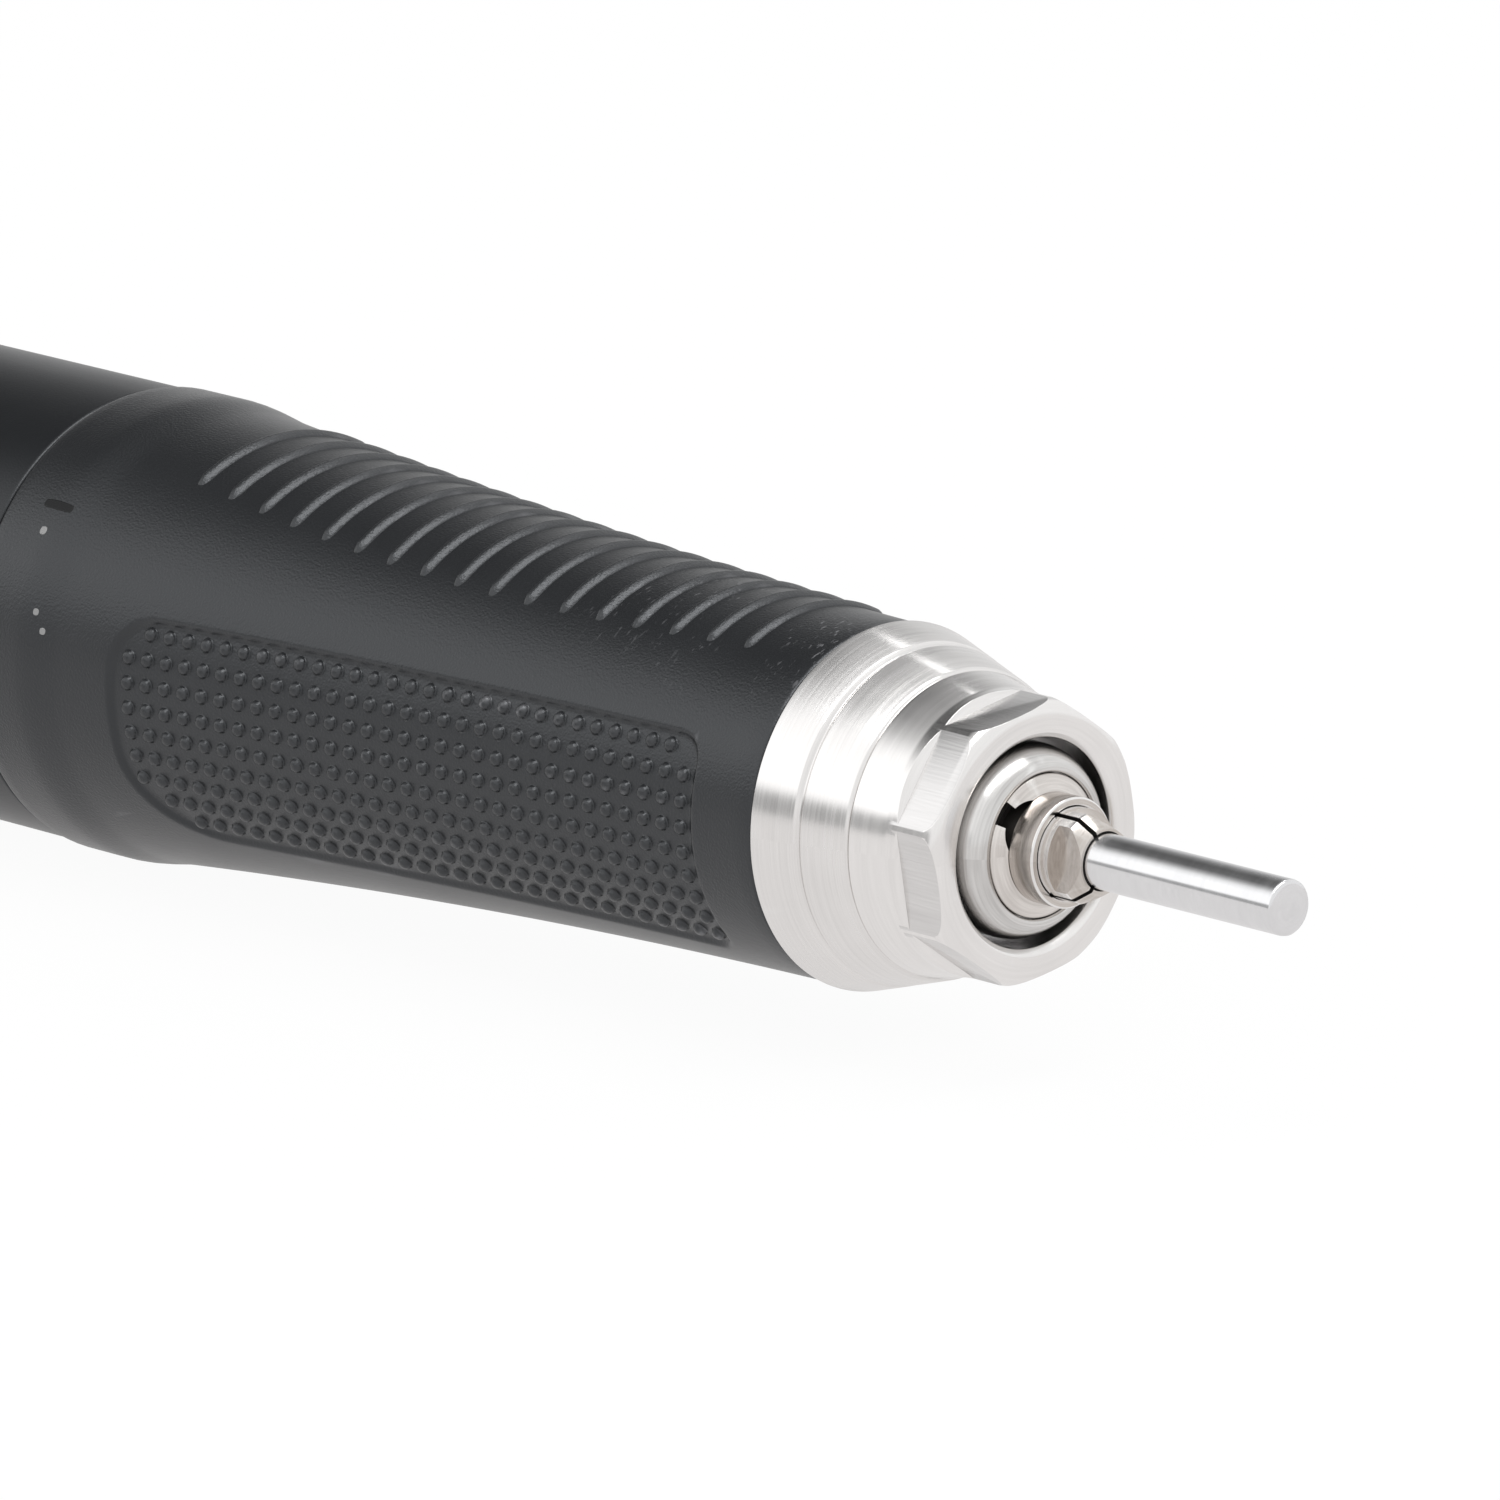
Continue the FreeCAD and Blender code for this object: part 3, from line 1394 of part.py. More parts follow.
near_panel = panel()
far_panel = near_panel.mirror(FreeCAD.Vector(), FreeCAD.Vector(0, 1, 0))
grip_panels = solid("grip_panels", Part.makeCompound([near_panel, far_panel]))
grip_ribs = solid("grip_ribs", Part.makeCompound([rib(i) for i in range(int(value("rib_count")))]))

grip_body = doc.addObject("Part::Cut", "grip_body")
grip_body.Base = grip_blank
grip_body.Tool = grip_panels
grip_sleeve = doc.addObject("Part::Fuse", "grip_sleeve")
grip_sleeve.Label = "grip_sleeve"
grip_sleeve.Base = grip_body
grip_sleeve.Tool = grip_ribs
keep(grip_sleeve)

# Metal nose: the fixed cone and the nut that clamps it

keep(
    turned(
        "nose_cone",
        [
            ("cone_rear", "cone_bore"),
            ("cone_rear", "cone_rear_radius - edge_break"),
            ("cone_rear + edge_break", "cone_rear_radius"),
            ("groove_middle - cone_groove_width / 2", "groove_radius + cone_groove_width / 2 * cone_slope"),
            ("groove_middle", "groove_radius - cone_groove_depth"),
            ("groove_middle + cone_groove_width / 2", "groove_radius - cone_groove_width / 2 * cone_slope"),
            ("nut_seat - edge_break", "cone_front_radius"),
            ("nut_seat", "cone_front_radius - edge_break"),
            ("nut_seat", "cone_bore"),
        ],
    )
)

front_nut = turned(
    "front_nut",
    [
        ("nut_skirt_rear", "nut_thread_bore"),
        ("nut_skirt_rear", "nut_skirt_radius"),
        ("nut_seat", "nut_skirt_radius"),
        ("nut_seat", "nut_rear_radius - edge_break"),
        ("nut_seat + edge_break", "nut_rear_radius"),
        ("flat_rear", "nut_radius"),
        ("flat_front", "nut_radius"),
        ("nut_face", "nut_radius - nut_round", "bulge", "nut_round"),
        ("nut_face", "nut_bore_radius + nut_bore_chamfer"),
        ("nut_face - nut_bore_chamfer", "nut_bore_radius"),
        ("nut_step", "nut_bore_radius"),
        ("nut_step", "nut_thread_bore"),
    ],
)
wrench_flat = outline(
    front_nut,
    "wrench_flat",
    [
        ("flat_rear + nut_run_out", "nut_flat_radius"),
        ("nut_face + end_gap", "nut_flat_radius"),
        ("nut_face + end_gap", "nut_rear_radius + nut_run_out"),
        ("flat_rear - nut_run_out / 2", "nut_rear_radius + nut_run_out"),
    ],
    turn="nut_turn",
)
keep(cut(front_nut, wrench_flat, int(value("nut_flat_count"))))

# Check every object, then write one file for each sub-part

doc.recompute()
for obj in doc.Objects:
    if "Invalid" in obj.State or "Error" in obj.State:
        raise RuntimeError(f"{obj.Name} did not compute: {obj.State}")

os.makedirs("parts", exist_ok=True)
for part in PARTS:
    shape = part.Shape
    if shape.isNull() or not shape.isValid() or not shape.Solids:
        raise RuntimeError(f"{part.Label} has no valid solid")
    shape.exportStep(f"parts/{part.Label}.step")
    print(f"{part.Label}: {len(shape.Solids)} solid, {shape.Volume:.2f} mm3")
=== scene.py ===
"""Looks of the micromotor handpiece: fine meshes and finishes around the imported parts."""

import json
import logging
import math
from dataclasses import dataclass
from enum import Enum
from functools import cache
from typing import Callable, Optional, Sequence

import bpy
from mathutils import Matrix, Vector

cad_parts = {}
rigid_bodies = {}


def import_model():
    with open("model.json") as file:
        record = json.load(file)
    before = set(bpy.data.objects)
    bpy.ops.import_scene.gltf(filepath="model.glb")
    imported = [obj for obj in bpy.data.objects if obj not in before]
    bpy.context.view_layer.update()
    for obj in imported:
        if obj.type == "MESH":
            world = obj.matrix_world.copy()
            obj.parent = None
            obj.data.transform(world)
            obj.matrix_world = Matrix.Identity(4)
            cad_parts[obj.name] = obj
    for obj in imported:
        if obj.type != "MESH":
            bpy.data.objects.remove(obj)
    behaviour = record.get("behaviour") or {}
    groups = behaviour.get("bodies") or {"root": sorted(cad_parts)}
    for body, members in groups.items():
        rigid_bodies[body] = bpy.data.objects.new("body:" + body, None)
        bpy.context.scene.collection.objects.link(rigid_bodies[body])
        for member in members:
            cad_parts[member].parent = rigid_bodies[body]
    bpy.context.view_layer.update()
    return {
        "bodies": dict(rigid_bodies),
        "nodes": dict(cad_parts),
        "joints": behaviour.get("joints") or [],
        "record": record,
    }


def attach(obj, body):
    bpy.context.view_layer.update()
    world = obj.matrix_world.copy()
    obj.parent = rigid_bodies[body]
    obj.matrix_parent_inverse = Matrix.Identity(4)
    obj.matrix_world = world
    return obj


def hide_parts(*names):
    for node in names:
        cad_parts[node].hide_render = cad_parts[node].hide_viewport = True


LOG = logging.getLogger("handpiece")
# A millimetre and the distance at which vertices merge, in metres
MM = 0.001
MERGE = 2e-6
# Slack in millimetres where faces are chosen by their place
SLACK = 0.01
Point = tuple[float, float]
Corner = tuple[float, float, float]
Socket = bpy.types.NodeSocket


class Body(Enum):
    """The moving groups that the pieces ride on."""

    FRAME = "frame"
    GRIP = "grip"
    SPINDLE = "spindle"
    CHUCK = "chuck"
    TOOL = "tool"


# Modelling helpers


def clear_selection() -> None:
    """Leave nothing selected, so that an operator acts on one piece only."""
    if bpy.context.object and bpy.context.object.mode != "OBJECT":
        bpy.ops.object.mode_set(mode="OBJECT")
    bpy.ops.object.select_all(action="DESELECT")


def pick(obj: bpy.types.Object) -> None:
    """Make one object the only selected and active one.

    Args:
        obj: The object to work on.
    """
    clear_selection()
    obj.select_set(True)
    bpy.context.view_layer.objects.active = obj


def polar(x: float, radius: float, degrees: float) -> Vector:
    """A point around the handpiece's axis.

    Args:
        x: Place along the axis, in millimetres.
        radius: Distance from the axis, in millimetres.
        degrees: Angle about +X, counted from +Y towards +Z.

    Returns:
        The point in metres.
    """
    turn = math.radians(degrees)
    return Vector((x, radius * math.cos(turn), radius * math.sin(turn))) * MM


def off_axis(spot: Vector) -> float:
    """Distance of a point from the handpiece's axis."""
    return math.hypot(spot.y, spot.z)


def rounded(corners: Sequence[Corner], closed: bool = True, steps: int = 3) -> list[Point]:
    """Round the corners of a lathe profile.

    Args:
        corners: Corners as (x, radius, size of the rounding), in millimetres.
        closed: Whether the last corner joins the first.
        steps: Edges in each rounding.

    Returns:
        The points of the finished outline, in order.
    """
    points: list[Point] = []
    count = len(corners)
    for index, (x, r, size) in enumerate(corners):
        here = Vector((x, r))
        if size <= 0 or (not closed and index in (0, count - 1)):
            points.append((x, r))
            continue
        before = Vector(corners[index - 1][:2]) - here
        after = Vector(corners[(index + 1) % count][:2]) - here
        reach = min(size, before.length * 0.45, after.length * 0.45)
        start = here + before.normalized() * reach
        end = here + after.normalized() * reach
        for step in range(steps + 1):
            t = step / steps
            spot = start * (1 - t) ** 2 + here * (2 * t * (1 - t)) + end * t**2
            points.append((spot.x, spot.y))
    return points


def start_mesh(name: str) -> bpy.types.Object:
    """Begin a piece from a plane merged to a single vertex, in edit mode.

    Args:
        name: Name of the piece.

    Returns:
        The new object, in edit mode, with its vertex selected.
    """
    clear_selection()
    bpy.ops.mesh.primitive_plane_add(size=MM)
    obj = bpy.context.object
    obj.name = name
    bpy.ops.object.mode_set(mode="EDIT")
    bpy.ops.mesh.select_all(action="SELECT")
    bpy.ops.mesh.merge(type="CENTER")
    return obj


def draw(points: Sequence[Point], closed: bool) -> None:
    """Extrude the selected vertex along a profile in the XZ plane.

    Args:
        points: The profile, in millimetres.
        closed: Whether to join the last point to the first.
    """
    last = Vector((0.0, 0.0, 0.0))
    for index, (x, r) in enumerate(points):
        spot = Vector((x, 0.0, r)) * MM
        if index == 0:
            bpy.ops.transform.translate(value=spot - last)
        else:
            bpy.ops.mesh.extrude_region_move(TRANSFORM_OT_translate={"value": spot - last})
        last = spot
    bpy.ops.mesh.select_all(action="SELECT")
    if closed:
        bpy.ops.object.mode_set(mode="OBJECT")
        mesh = bpy.context.object.data
        mesh.vertices.foreach_set("select", [i in (0, len(points) - 1) for i in range(len(points))])
        mesh.edges.foreach_set("select", [False] * len(mesh.edges))
        bpy.ops.object.mode_set(mode="EDIT")
        bpy.ops.mesh.edge_face_add()
        bpy.ops.mesh.select_all(action="SELECT")


def tidy_mesh(obj: bpy.types.Object, smooth: float = 35.0) -> bpy.types.Object:
    """Merge doubles, turn the faces outwards and shade by angle.

    Args:
        obj: The object to finish.
        smooth: Largest angle between faces that is shaded smooth, in degrees.

    Returns:
        The same object, in object mode.
    """
    if obj.mode != "EDIT":
        pick(obj)
        bpy.ops.object.mode_set(mode="EDIT")
    bpy.ops.mesh.select_all(action="SELECT")
    bpy.ops.mesh.remove_doubles(threshold=MERGE)
    bpy.ops.mesh.normals_make_consistent(inside=False)
    bpy.ops.object.mode_set(mode="OBJECT")
    pick(obj)
    bpy.ops.object.shade_smooth_by_angle(angle=math.radians(smooth))
    return obj


def lathe(
    name: str,
    corners: Sequence[Corner],
    closed: bool = True,
    steps: int = 144,
    degrees: float = 360.0,
    middle: float = 90.0,
) -> bpy.types.Object:
    """Turn a piece: draw its half section and spin it about the axis.

    Args:
        name: Name of the piece.
        corners: Corners as (x, radius, rounding), in millimetres.
        closed: Whether the profile is a closed loop. An open one ends on the axis.
        steps: Segments around.
        degrees: How far the profile is spun.
        middle: Angle of the middle of a part turn.

    Returns:
        The finished object.
    """
    obj = start_mesh(name)
    draw(rounded(corners, closed), closed)
    whole = degrees >= 360.0
    if not whole:
        bpy.ops.mesh.edge_face_add()
    bpy.ops.mesh.spin(
        steps=steps, angle=math.radians(degrees), center=(0, 0, 0), axis=(1, 0, 0)
    )
    tidy_mesh(obj)
    if not whole:
        spread = [math.atan2(v.co.z, v.co.y) for v in obj.data.vertices]
        here = math.atan2(sum(map(math.sin, spread)), sum(map(math.cos, spread)))
        obj.data.transform(Matrix.Rotation(math.radians(middle) - here, 4, "X"))
    return obj


def apply_modifier(obj: bpy.types.Object, kind: str, **settings: object) -> None:
    """Add a modifier to a piece and apply it.

    Args:
        obj: The piece.
        kind: Blender's name for the modifier.
        settings: Its settings.
    """
    pick(obj)
    modifier = obj.modifiers.new(kind.title(), kind)
    for key, setting in settings.items():
        setattr(modifier, key, setting)
    bpy.ops.object.modifier_apply(modifier=modifier.name)


def cut_away(obj: bpy.types.Object, cutters: Sequence[bpy.types.Object]) -> None:
    """Take cutters away from a piece, then delete them.

    Args:
        obj: The piece.
        cutters: Closed meshes that cut it.
    """
    for cutter in cutters:
        apply_modifier(
            obj, "BOOLEAN", operation="DIFFERENCE", solver="EXACT", object=cutter
        )
        bpy.data.objects.remove(cutter)


def ease_edges(obj: bpy.types.Object, width: float, angle: float = 30.0, segments: int = 2) -> None:
    """Round the sharp edges of a piece a little, as real edges are.

    Args:
        obj: The piece.
        width: Width of the rounding in millimetres.
        angle: Edges sharper than this are rounded, in degrees.
        segments: Faces across the rounding.
    """
    apply_modifier(
        obj,
        "BEVEL",
        width=width * MM,
        segments=segments,
        limit_method="ANGLE",
        angle_limit=math.radians(angle),
        use_clamp_overlap=True,
        harden_normals=False,
    )
    pick(obj)
    bpy.ops.object.shade_smooth_by_angle(angle=math.radians(40))


def block(low: Sequence[float], high: Sequence[float], turn: float = 0.0) -> bpy.types.Object:
    """A box cutter, turned about the axis.

    Args:
        low: Lowest corner in millimetres.
        high: Highest corner in millimetres.
        turn: Turn about +X in degrees.

    Returns:
        The cutter.
    """
    clear_selection()
    centre = [(a + b) / 2 * MM for a, b in zip(low, high)]
    bpy.ops.mesh.primitive_cube_add(size=1.0, location=centre)
    obj = bpy.context.object
    obj.scale = [(b - a) * MM for a, b in zip(low, high)]
    bpy.ops.object.transform_apply(location=True, rotation=True, scale=True)
    obj.data.transform(Matrix.Rotation(math.radians(turn), 4, "X"))
    return obj


def sheet_mesh(name: str, across: int, along: int, place: Callable[[int, int], Vector]) -> bpy.types.Object:
    """Shape a grid primitive into a curved face, vertex by vertex.

    Args:
        name: Name of the piece.
        across: Cells in the grid's first direction.
        along: Cells in its second direction.
        place: Where the vertex at each pair of line numbers goes.

    Returns:
        The shaped object.
    """
    clear_selection()
    bpy.ops.mesh.primitive_grid_add(x_subdivisions=across, y_subdivisions=along, size=1.0)
    obj = bpy.context.object
    obj.name = name
    for vertex in obj.data.vertices:
        i = round((vertex.co.x + 0.5) * across)
        j = round((vertex.co.y + 0.5) * along)
        vertex.co = place(i, j)
    return obj


def joined(name: str, objects: Sequence[bpy.types.Object]) -> bpy.types.Object:
    """Join several meshes into one piece.

    Args:
        name: Name of the piece.
        objects: The meshes.

    Returns:
        The joined object.
    """
    clear_selection()
    for obj in objects:
        obj.select_set(True)
    bpy.context.view_layer.objects.active = objects[0]
    bpy.ops.object.join()
    objects[0].name = name
    return objects[0]


# Finishes


class Nodes:
    """A short way to place and link the nodes of a material or a group."""

    def __init__(self, tree: bpy.types.NodeTree) -> None:
        """Start with an empty tree.

        Args:
            tree: The node tree to fill.
        """
        self.tree = tree
        tree.nodes.clear()

    def add(self, kind: str, links: Optional[dict] = None, **settings: object) -> bpy.types.Node:
        """Add a node.

        Args:
            kind: Its type name.
            links: Inputs by name or number: a socket to link, or a value to set.
            settings: Its own properties.

        Returns:
            The node.
        """
        node = self.tree.nodes.new(kind)
        for key, setting in settings.items():
            setattr(node, key, setting)
        for key, source in (links or {}).items():
            if isinstance(source, bpy.types.NodeSocket):
                self.tree.links.new(source, node.inputs[key])
            else:
                node.inputs[key].default_value = source
        return node

    def math(self, operation: str, first: object, second: object = 0.0) -> Socket:
        """A Math node's result.

        Args:
            operation: What it does.
            first: Its first input.
            second: Its second input.

        Returns:
            The output socket.
        """
        return self.add("ShaderNodeMath", {0: first, 1: second}, operation=operation).outputs[0]

    def mix(self, factor: object, first: object, second: object) -> Socket:
        """A colour mix.

        Args:
            factor: Share of the second colour.
            first: First colour.
            second: Second colour.

        Returns:
            The mixed colour's socket.
        """
        node = self.add("ShaderNodeMix", {0: factor, 6: first, 7: second}, data_type="RGBA")
        return node.outputs[2]

    def noise(self, place: Socket, scale: object, detail: float) -> Socket:
        """A noise texture's value.

        Args:
            place: The coordinates that it lies on.
            scale: Its scale.
            detail: How many finer layers it has.

        Returns:
            The output socket.
        """
        links = {"Vector": place, "Scale": scale, "Detail": detail}
        return self.add("ShaderNodeTexNoise", links).outputs[0]

    def share(self, value: Socket, limits: Point, kind: str = "LINEAR") -> Socket:
        """How far a value has come from a low to a high limit, between 0 and 1.

        Args:
            value: The value.
            limits: The low and the high limit.
            kind: How it rises between them.

        Returns:
            The output socket.
        """
        links = {"Value": value, "From Min": limits[0], "From Max": limits[1]}
        return self.add("ShaderNodeMapRange", links, interpolation_type=kind).outputs[0]

    def split(self, place: Socket) -> tuple[Socket, ...]:
        """X, Y and Z of a place, and its angle about the handpiece's axis in radians."""
        x, y, z = self.add("ShaderNodeSeparateXYZ", {0: place}).outputs
        return x, y, z, self.math("ARCTAN2", z, y)


def new_group(
    name: str, setting: str, default: float, outputs: Sequence[str]
) -> tuple[Nodes, Socket, Socket]:
    """Start a shader node group with one number as its input.

    Args:
        name: Name of the group.
        setting: Name of its input.
        default: The input's default.
        outputs: Names of its number outputs.

    Returns:
        Its node maker, its input and the object's own coordinates.
    """
    tree = bpy.data.node_groups.new(name, "ShaderNodeTree")
    socket = tree.interface.new_socket(setting, in_out="INPUT", socket_type="NodeSocketFloat")
    socket.default_value = default
    for label in outputs:
        tree.interface.new_socket(label, in_out="OUTPUT", socket_type="NodeSocketFloat")
    nodes = Nodes(tree)
    entry = nodes.add("NodeGroupInput").outputs[setting]
    return nodes, entry, nodes.add("ShaderNodeTexCoord").outputs["Object"]


@cache
def grain_group() -> bpy.types.NodeTree:
    """Moulded grain: fine rounded pits with a slow change of tone.

    Returns:
        The group, with outputs Height and Tone.
    """
    nodes, scale, place = new_group("moulded_grain", "Scale", 5000.0, ["Height", "Tone"])
    pits = nodes.noise(place, scale, 3.0)
    cells = nodes.add(
        "ShaderNodeTexVoronoi", {"Vector": place, "Scale": scale}, feature="SMOOTH_F1"
    ).outputs[0]
    height = nodes.math("ADD", pits, nodes.math("MULTIPLY", cells, 0.6))
    nodes.add("NodeGroupOutput", {"Height": height, "Tone": nodes.noise(place, 180.0, 4.0)})
    return nodes.tree


@cache
def turning_group() -> bpy.types.NodeTree:
    """Marks of turning: fine rings about the axis, uneven in depth.

    Returns:
        The group, with outputs Height and Tone.
    """
    nodes, lines, place = new_group("turning_marks", "Lines", 9000.0, ["Height", "Tone"])
    x, y, z, angle = nodes.split(place)
    squares = [nodes.math("MULTIPLY", part, part) for part in (y, z)]
    radius = nodes.math("SQRT", nodes.math("ADD", *squares))
    rings = nodes.add(
        "ShaderNodeCombineXYZ",
        {
            0: nodes.math("MULTIPLY", x, lines),
            1: nodes.math("MULTIPLY", radius, lines),
            2: nodes.math("MULTIPLY", angle, 1.5),
        },
    ).outputs[0]
    height = nodes.math("ADD", nodes.noise(rings, 1.0, 2.0), nodes.noise(rings, 0.3, 1.0))
    tone = nodes.math("ADD", height, nodes.noise(place, 260.0, 3.0))
    tone = nodes.math("MULTIPLY", nodes.math("SUBTRACT", tone, 1.1), 1.25)
    nodes.add("NodeGroupOutput", {"Height": height, "Tone": tone})
    return nodes.tree


@cache
def milling_group() -> bpy.types.NodeTree:
    """Marks of a milling cutter: fine streaks along the axis, with a few deeper ones.

    Returns:
        The group, with outputs Height and Tone.
    """
    nodes, lines, place = new_group("milling_marks", "Lines", 9000.0, ["Height", "Tone"])
    x, _, _, angle = nodes.split(place)
    streaks = nodes.add(
        "ShaderNodeCombineXYZ",
        {
            0: nodes.math("MULTIPLY", x, 350.0),
            1: nodes.math("MULTIPLY", nodes.math("MULTIPLY", angle, 0.006), lines),
            2: 0.0,
        },
    ).outputs[0]
    fine = nodes.noise(streaks, 1.0, 4.0)
    broad = nodes.noise(streaks, 0.12, 2.0)
    tone = nodes.math("ADD", nodes.math("MULTIPLY", fine, 0.6), nodes.math("MULTIPLY", broad, 0.4))
    nodes.add("NodeGroupOutput", {"Height": fine, "Tone": tone})
    return nodes.tree


@cache
def wear_group() -> bpy.types.NodeTree:
    """Where hands and tools rub: the edges, broken up by a slow pattern.

    Returns:
        The group, with the output Edges.
    """
    nodes, reach, place = new_group("rubbed_edges", "Reach", 6.0, ["Edges"])
    sharp = nodes.add("ShaderNodeNewGeometry").outputs["Pointiness"]
    rise = nodes.math("MULTIPLY", nodes.math("SUBTRACT", sharp, 0.52), reach)
    edges = nodes.math("MULTIPLY", nodes.math("MAXIMUM", rise, 0.0), nodes.noise(place, 900.0, 4.0))
    nodes.add("NodeGroupOutput", {"Edges": nodes.math("MINIMUM", edges, 1.0)})
    return nodes.tree


@cache
def scuff_group() -> bpy.types.NodeTree:
    """Small pale scuffs and specks where the grip meets the fingers, on top towards the nose.

    Returns:
        The group, with the output Marks.
    """
    nodes, scale, place = new_group("handling_scuffs", "Scale", 6500.0, ["Marks"])
    x, _, z = nodes.add("ShaderNodeSeparateXYZ", {0: place}).outputs
    long = nodes.add("ShaderNodeVectorMath", {0: place, 1: (1.0, 0.3, 0.3)}, operation="MULTIPLY")
    marks = nodes.share(nodes.noise(long.outputs[0], scale, 3.0), (0.62, 0.7))
    patches = nodes.noise(place, 170.0, 2.0)
    for value, limits in ((patches, (0.44, 0.56)), (x, (0.100, 0.115)), (z, (0.0045, 0.0070))):
        marks = nodes.math("MULTIPLY", marks, nodes.share(value, limits))
    nodes.add("NodeGroupOutput", {"Marks": marks})
    return nodes.tree


@dataclass(frozen=True)
class Finish:
    """One surface: a base colour with its variation, its gloss and its fine relief."""

    name: str
    colour: tuple[float, float, float]
    shade: tuple[float, float, float]
    roughness: float
    rough_spread: float
    metallic: float
    relief: float
    pattern: Callable[[], bpy.types.NodeTree]
    pattern_scale: float
    worn: tuple[float, float, float] = (0.3, 0.3, 0.3)
    wear: float = 0.0
    specular: float = 0.5
    tint: tuple[float, float, float] = (1.0, 1.0, 1.0)
    anisotropic: float = 0.0
    scuffs: float = 0.0

    def build(self) -> bpy.types.Material:
        """Make the material, or find it if it is already made.

        Returns:
            The material.
        """
        label = f"{self.name}_finish"
        found = bpy.data.materials.get(label)
        if found:
            return found
        material = bpy.data.materials.new(label)
        material.use_nodes = True
        nodes = Nodes(material.node_tree)
        pattern = nodes.add("ShaderNodeGroup", node_tree=self.pattern())
        pattern.inputs[0].default_value = self.pattern_scale
        tone = pattern.outputs["Tone"]
        colour = nodes.mix(tone, (*self.shade, 1.0), (*self.colour, 1.0))
        for maker, strength in ((wear_group, self.wear), (scuff_group, self.scuffs)):
            if strength:
                rubbed = nodes.add("ShaderNodeGroup", node_tree=maker()).outputs[0]
                share = nodes.math("MULTIPLY", rubbed, strength)
                colour = nodes.mix(share, colour, (*self.worn, 1.0))
        spread = nodes.math("MULTIPLY", nodes.math("SUBTRACT", tone, 0.5), self.rough_spread)
        rough = nodes.math("ADD", spread, self.roughness)
        bump = nodes.add(
            "ShaderNodeBump",
            {"Height": pattern.outputs["Height"], "Distance": self.relief * MM, "Strength": 1.0},
        )
        sockets = {
            "Base Color": colour,
            "Roughness": rough,
            "Metallic": self.metallic,
            "Specular IOR Level": self.specular,
            "Specular Tint": (*self.tint, 1.0),
            "Anisotropic": self.anisotropic,
            "Normal": bump.outputs[0],
        }
        if self.anisotropic:
            sockets["Anisotropic Rotation"] = 0.25
            tangent = nodes.add("ShaderNodeTangent", direction_type="RADIAL", axis="X")
            sockets["Tangent"] = tangent.outputs[0]
        shader = nodes.add("ShaderNodeBsdfPrincipled", sockets)
        nodes.add("ShaderNodeOutputMaterial", {"Surface": shader.outputs[0]})
        return material


GRIP_BLACK = Finish(
    "grip_black", (0.0120, 0.0130, 0.0146), (0.0085, 0.0093, 0.0106), 0.31, 0.08, 0.0,
    0.015, grain_group, 9500.0, worn=(0.20, 0.20, 0.21), wear=0.5, specular=0.68,
    tint=(0.93, 0.96, 1.0), scuffs=0.7,
)
CASE_BLACK = Finish(
    "case_black", (0.0085, 0.0095, 0.0108), (0.0060, 0.0068, 0.0080), 0.29, 0.08, 0.0,
    0.006, grain_group, 12000.0, worn=(0.12, 0.12, 0.12), wear=0.3, specular=0.55,
    tint=(0.93, 0.96, 1.0),
)
CAP_BLACK = Finish(
    "cap_black", (0.0110, 0.0120, 0.0136), (0.0075, 0.0083, 0.0096), 0.36, 0.08, 0.0,
    0.012, grain_group, 8500.0, worn=(0.14, 0.14, 0.14), wear=0.3, specular=0.5,
    tint=(0.93, 0.96, 1.0),
)
SATIN_STEEL = Finish(
    "satin_steel", (0.88, 0.865, 0.855), (0.78, 0.765, 0.755), 0.24, 0.1, 1.0,
    0.0004, turning_group, 22000.0, worn=(0.95, 0.95, 0.94), wear=0.5, anisotropic=0.7,
)
NUT_STEEL = Finish(
    "nut_steel", (0.90, 0.885, 0.875), (0.82, 0.805, 0.795), 0.19, 0.08, 1.0,
    0.0002, turning_group, 9000.0, worn=(0.95, 0.95, 0.94), wear=0.6, anisotropic=0.4,
)
MILLED_STEEL = Finish(
    "milled_steel", (0.86, 0.85, 0.845), (0.58, 0.57, 0.565), 0.22, 0.2, 1.0,
    0.005, milling_group, 9000.0, worn=(0.92, 0.92, 0.91), wear=0.6,
)
# Painted shade: the dome's steel is a darker copy of the nose steel, standing in for the shade that the
# nut's bore casts on its flank.
DOME_STEEL = Finish(
    "dome_steel", (0.76, 0.75, 0.74), (0.54, 0.53, 0.52), 0.20, 0.1, 1.0,
    0.0004, turning_group, 12000.0, worn=(0.95, 0.95, 0.94), wear=0.6, anisotropic=0.4,
)
CHUCK_STEEL = Finish(
    "chuck_steel", (0.70, 0.66, 0.625), (0.54, 0.50, 0.465), 0.22, 0.1, 1.0,
    0.0003, turning_group, 9000.0, worn=(0.92, 0.90, 0.87), wear=0.4, anisotropic=0.4,
)
RING_STEEL = Finish(
    "ring_steel", (0.82, 0.785, 0.755), (0.58, 0.545, 0.52), 0.20, 0.1, 1.0,
    0.0004, turning_group, 8000.0, worn=(0.95, 0.94, 0.92), wear=0.8, anisotropic=0.3,
)
SHADE_STEEL = Finish(
    "shade_steel", (0.26, 0.245, 0.23), (0.14, 0.13, 0.12), 0.35, 0.1, 1.0,
    0.0004, turning_group, 8000.0,
)
# Painted shadow: a near-black steel laid on the collet's slit walls, its mouth round the tool and the
# groove under the snap ring, where the gaps are in shade.
PAINTED_SHADOW_STEEL = Finish(
    "painted_shadow_steel", (0.030, 0.027, 0.025), (0.018, 0.016, 0.015), 0.5, 0.1, 0.4,
    0.002, grain_group, 9000.0,
)
TOOL_STEEL = Finish(
    "tool_steel", (0.81, 0.81, 0.82), (0.75, 0.75, 0.76), 0.17, 0.05, 1.0,
    0.00008, turning_group, 7000.0, anisotropic=0.5,
)
MARK_DARK = Finish(
    "mark_dark", (0.0065, 0.007, 0.0075), (0.005, 0.0055, 0.006), 0.5, 0.05, 0.0,
    0.002, grain_group, 6000.0, specular=0.3,
)
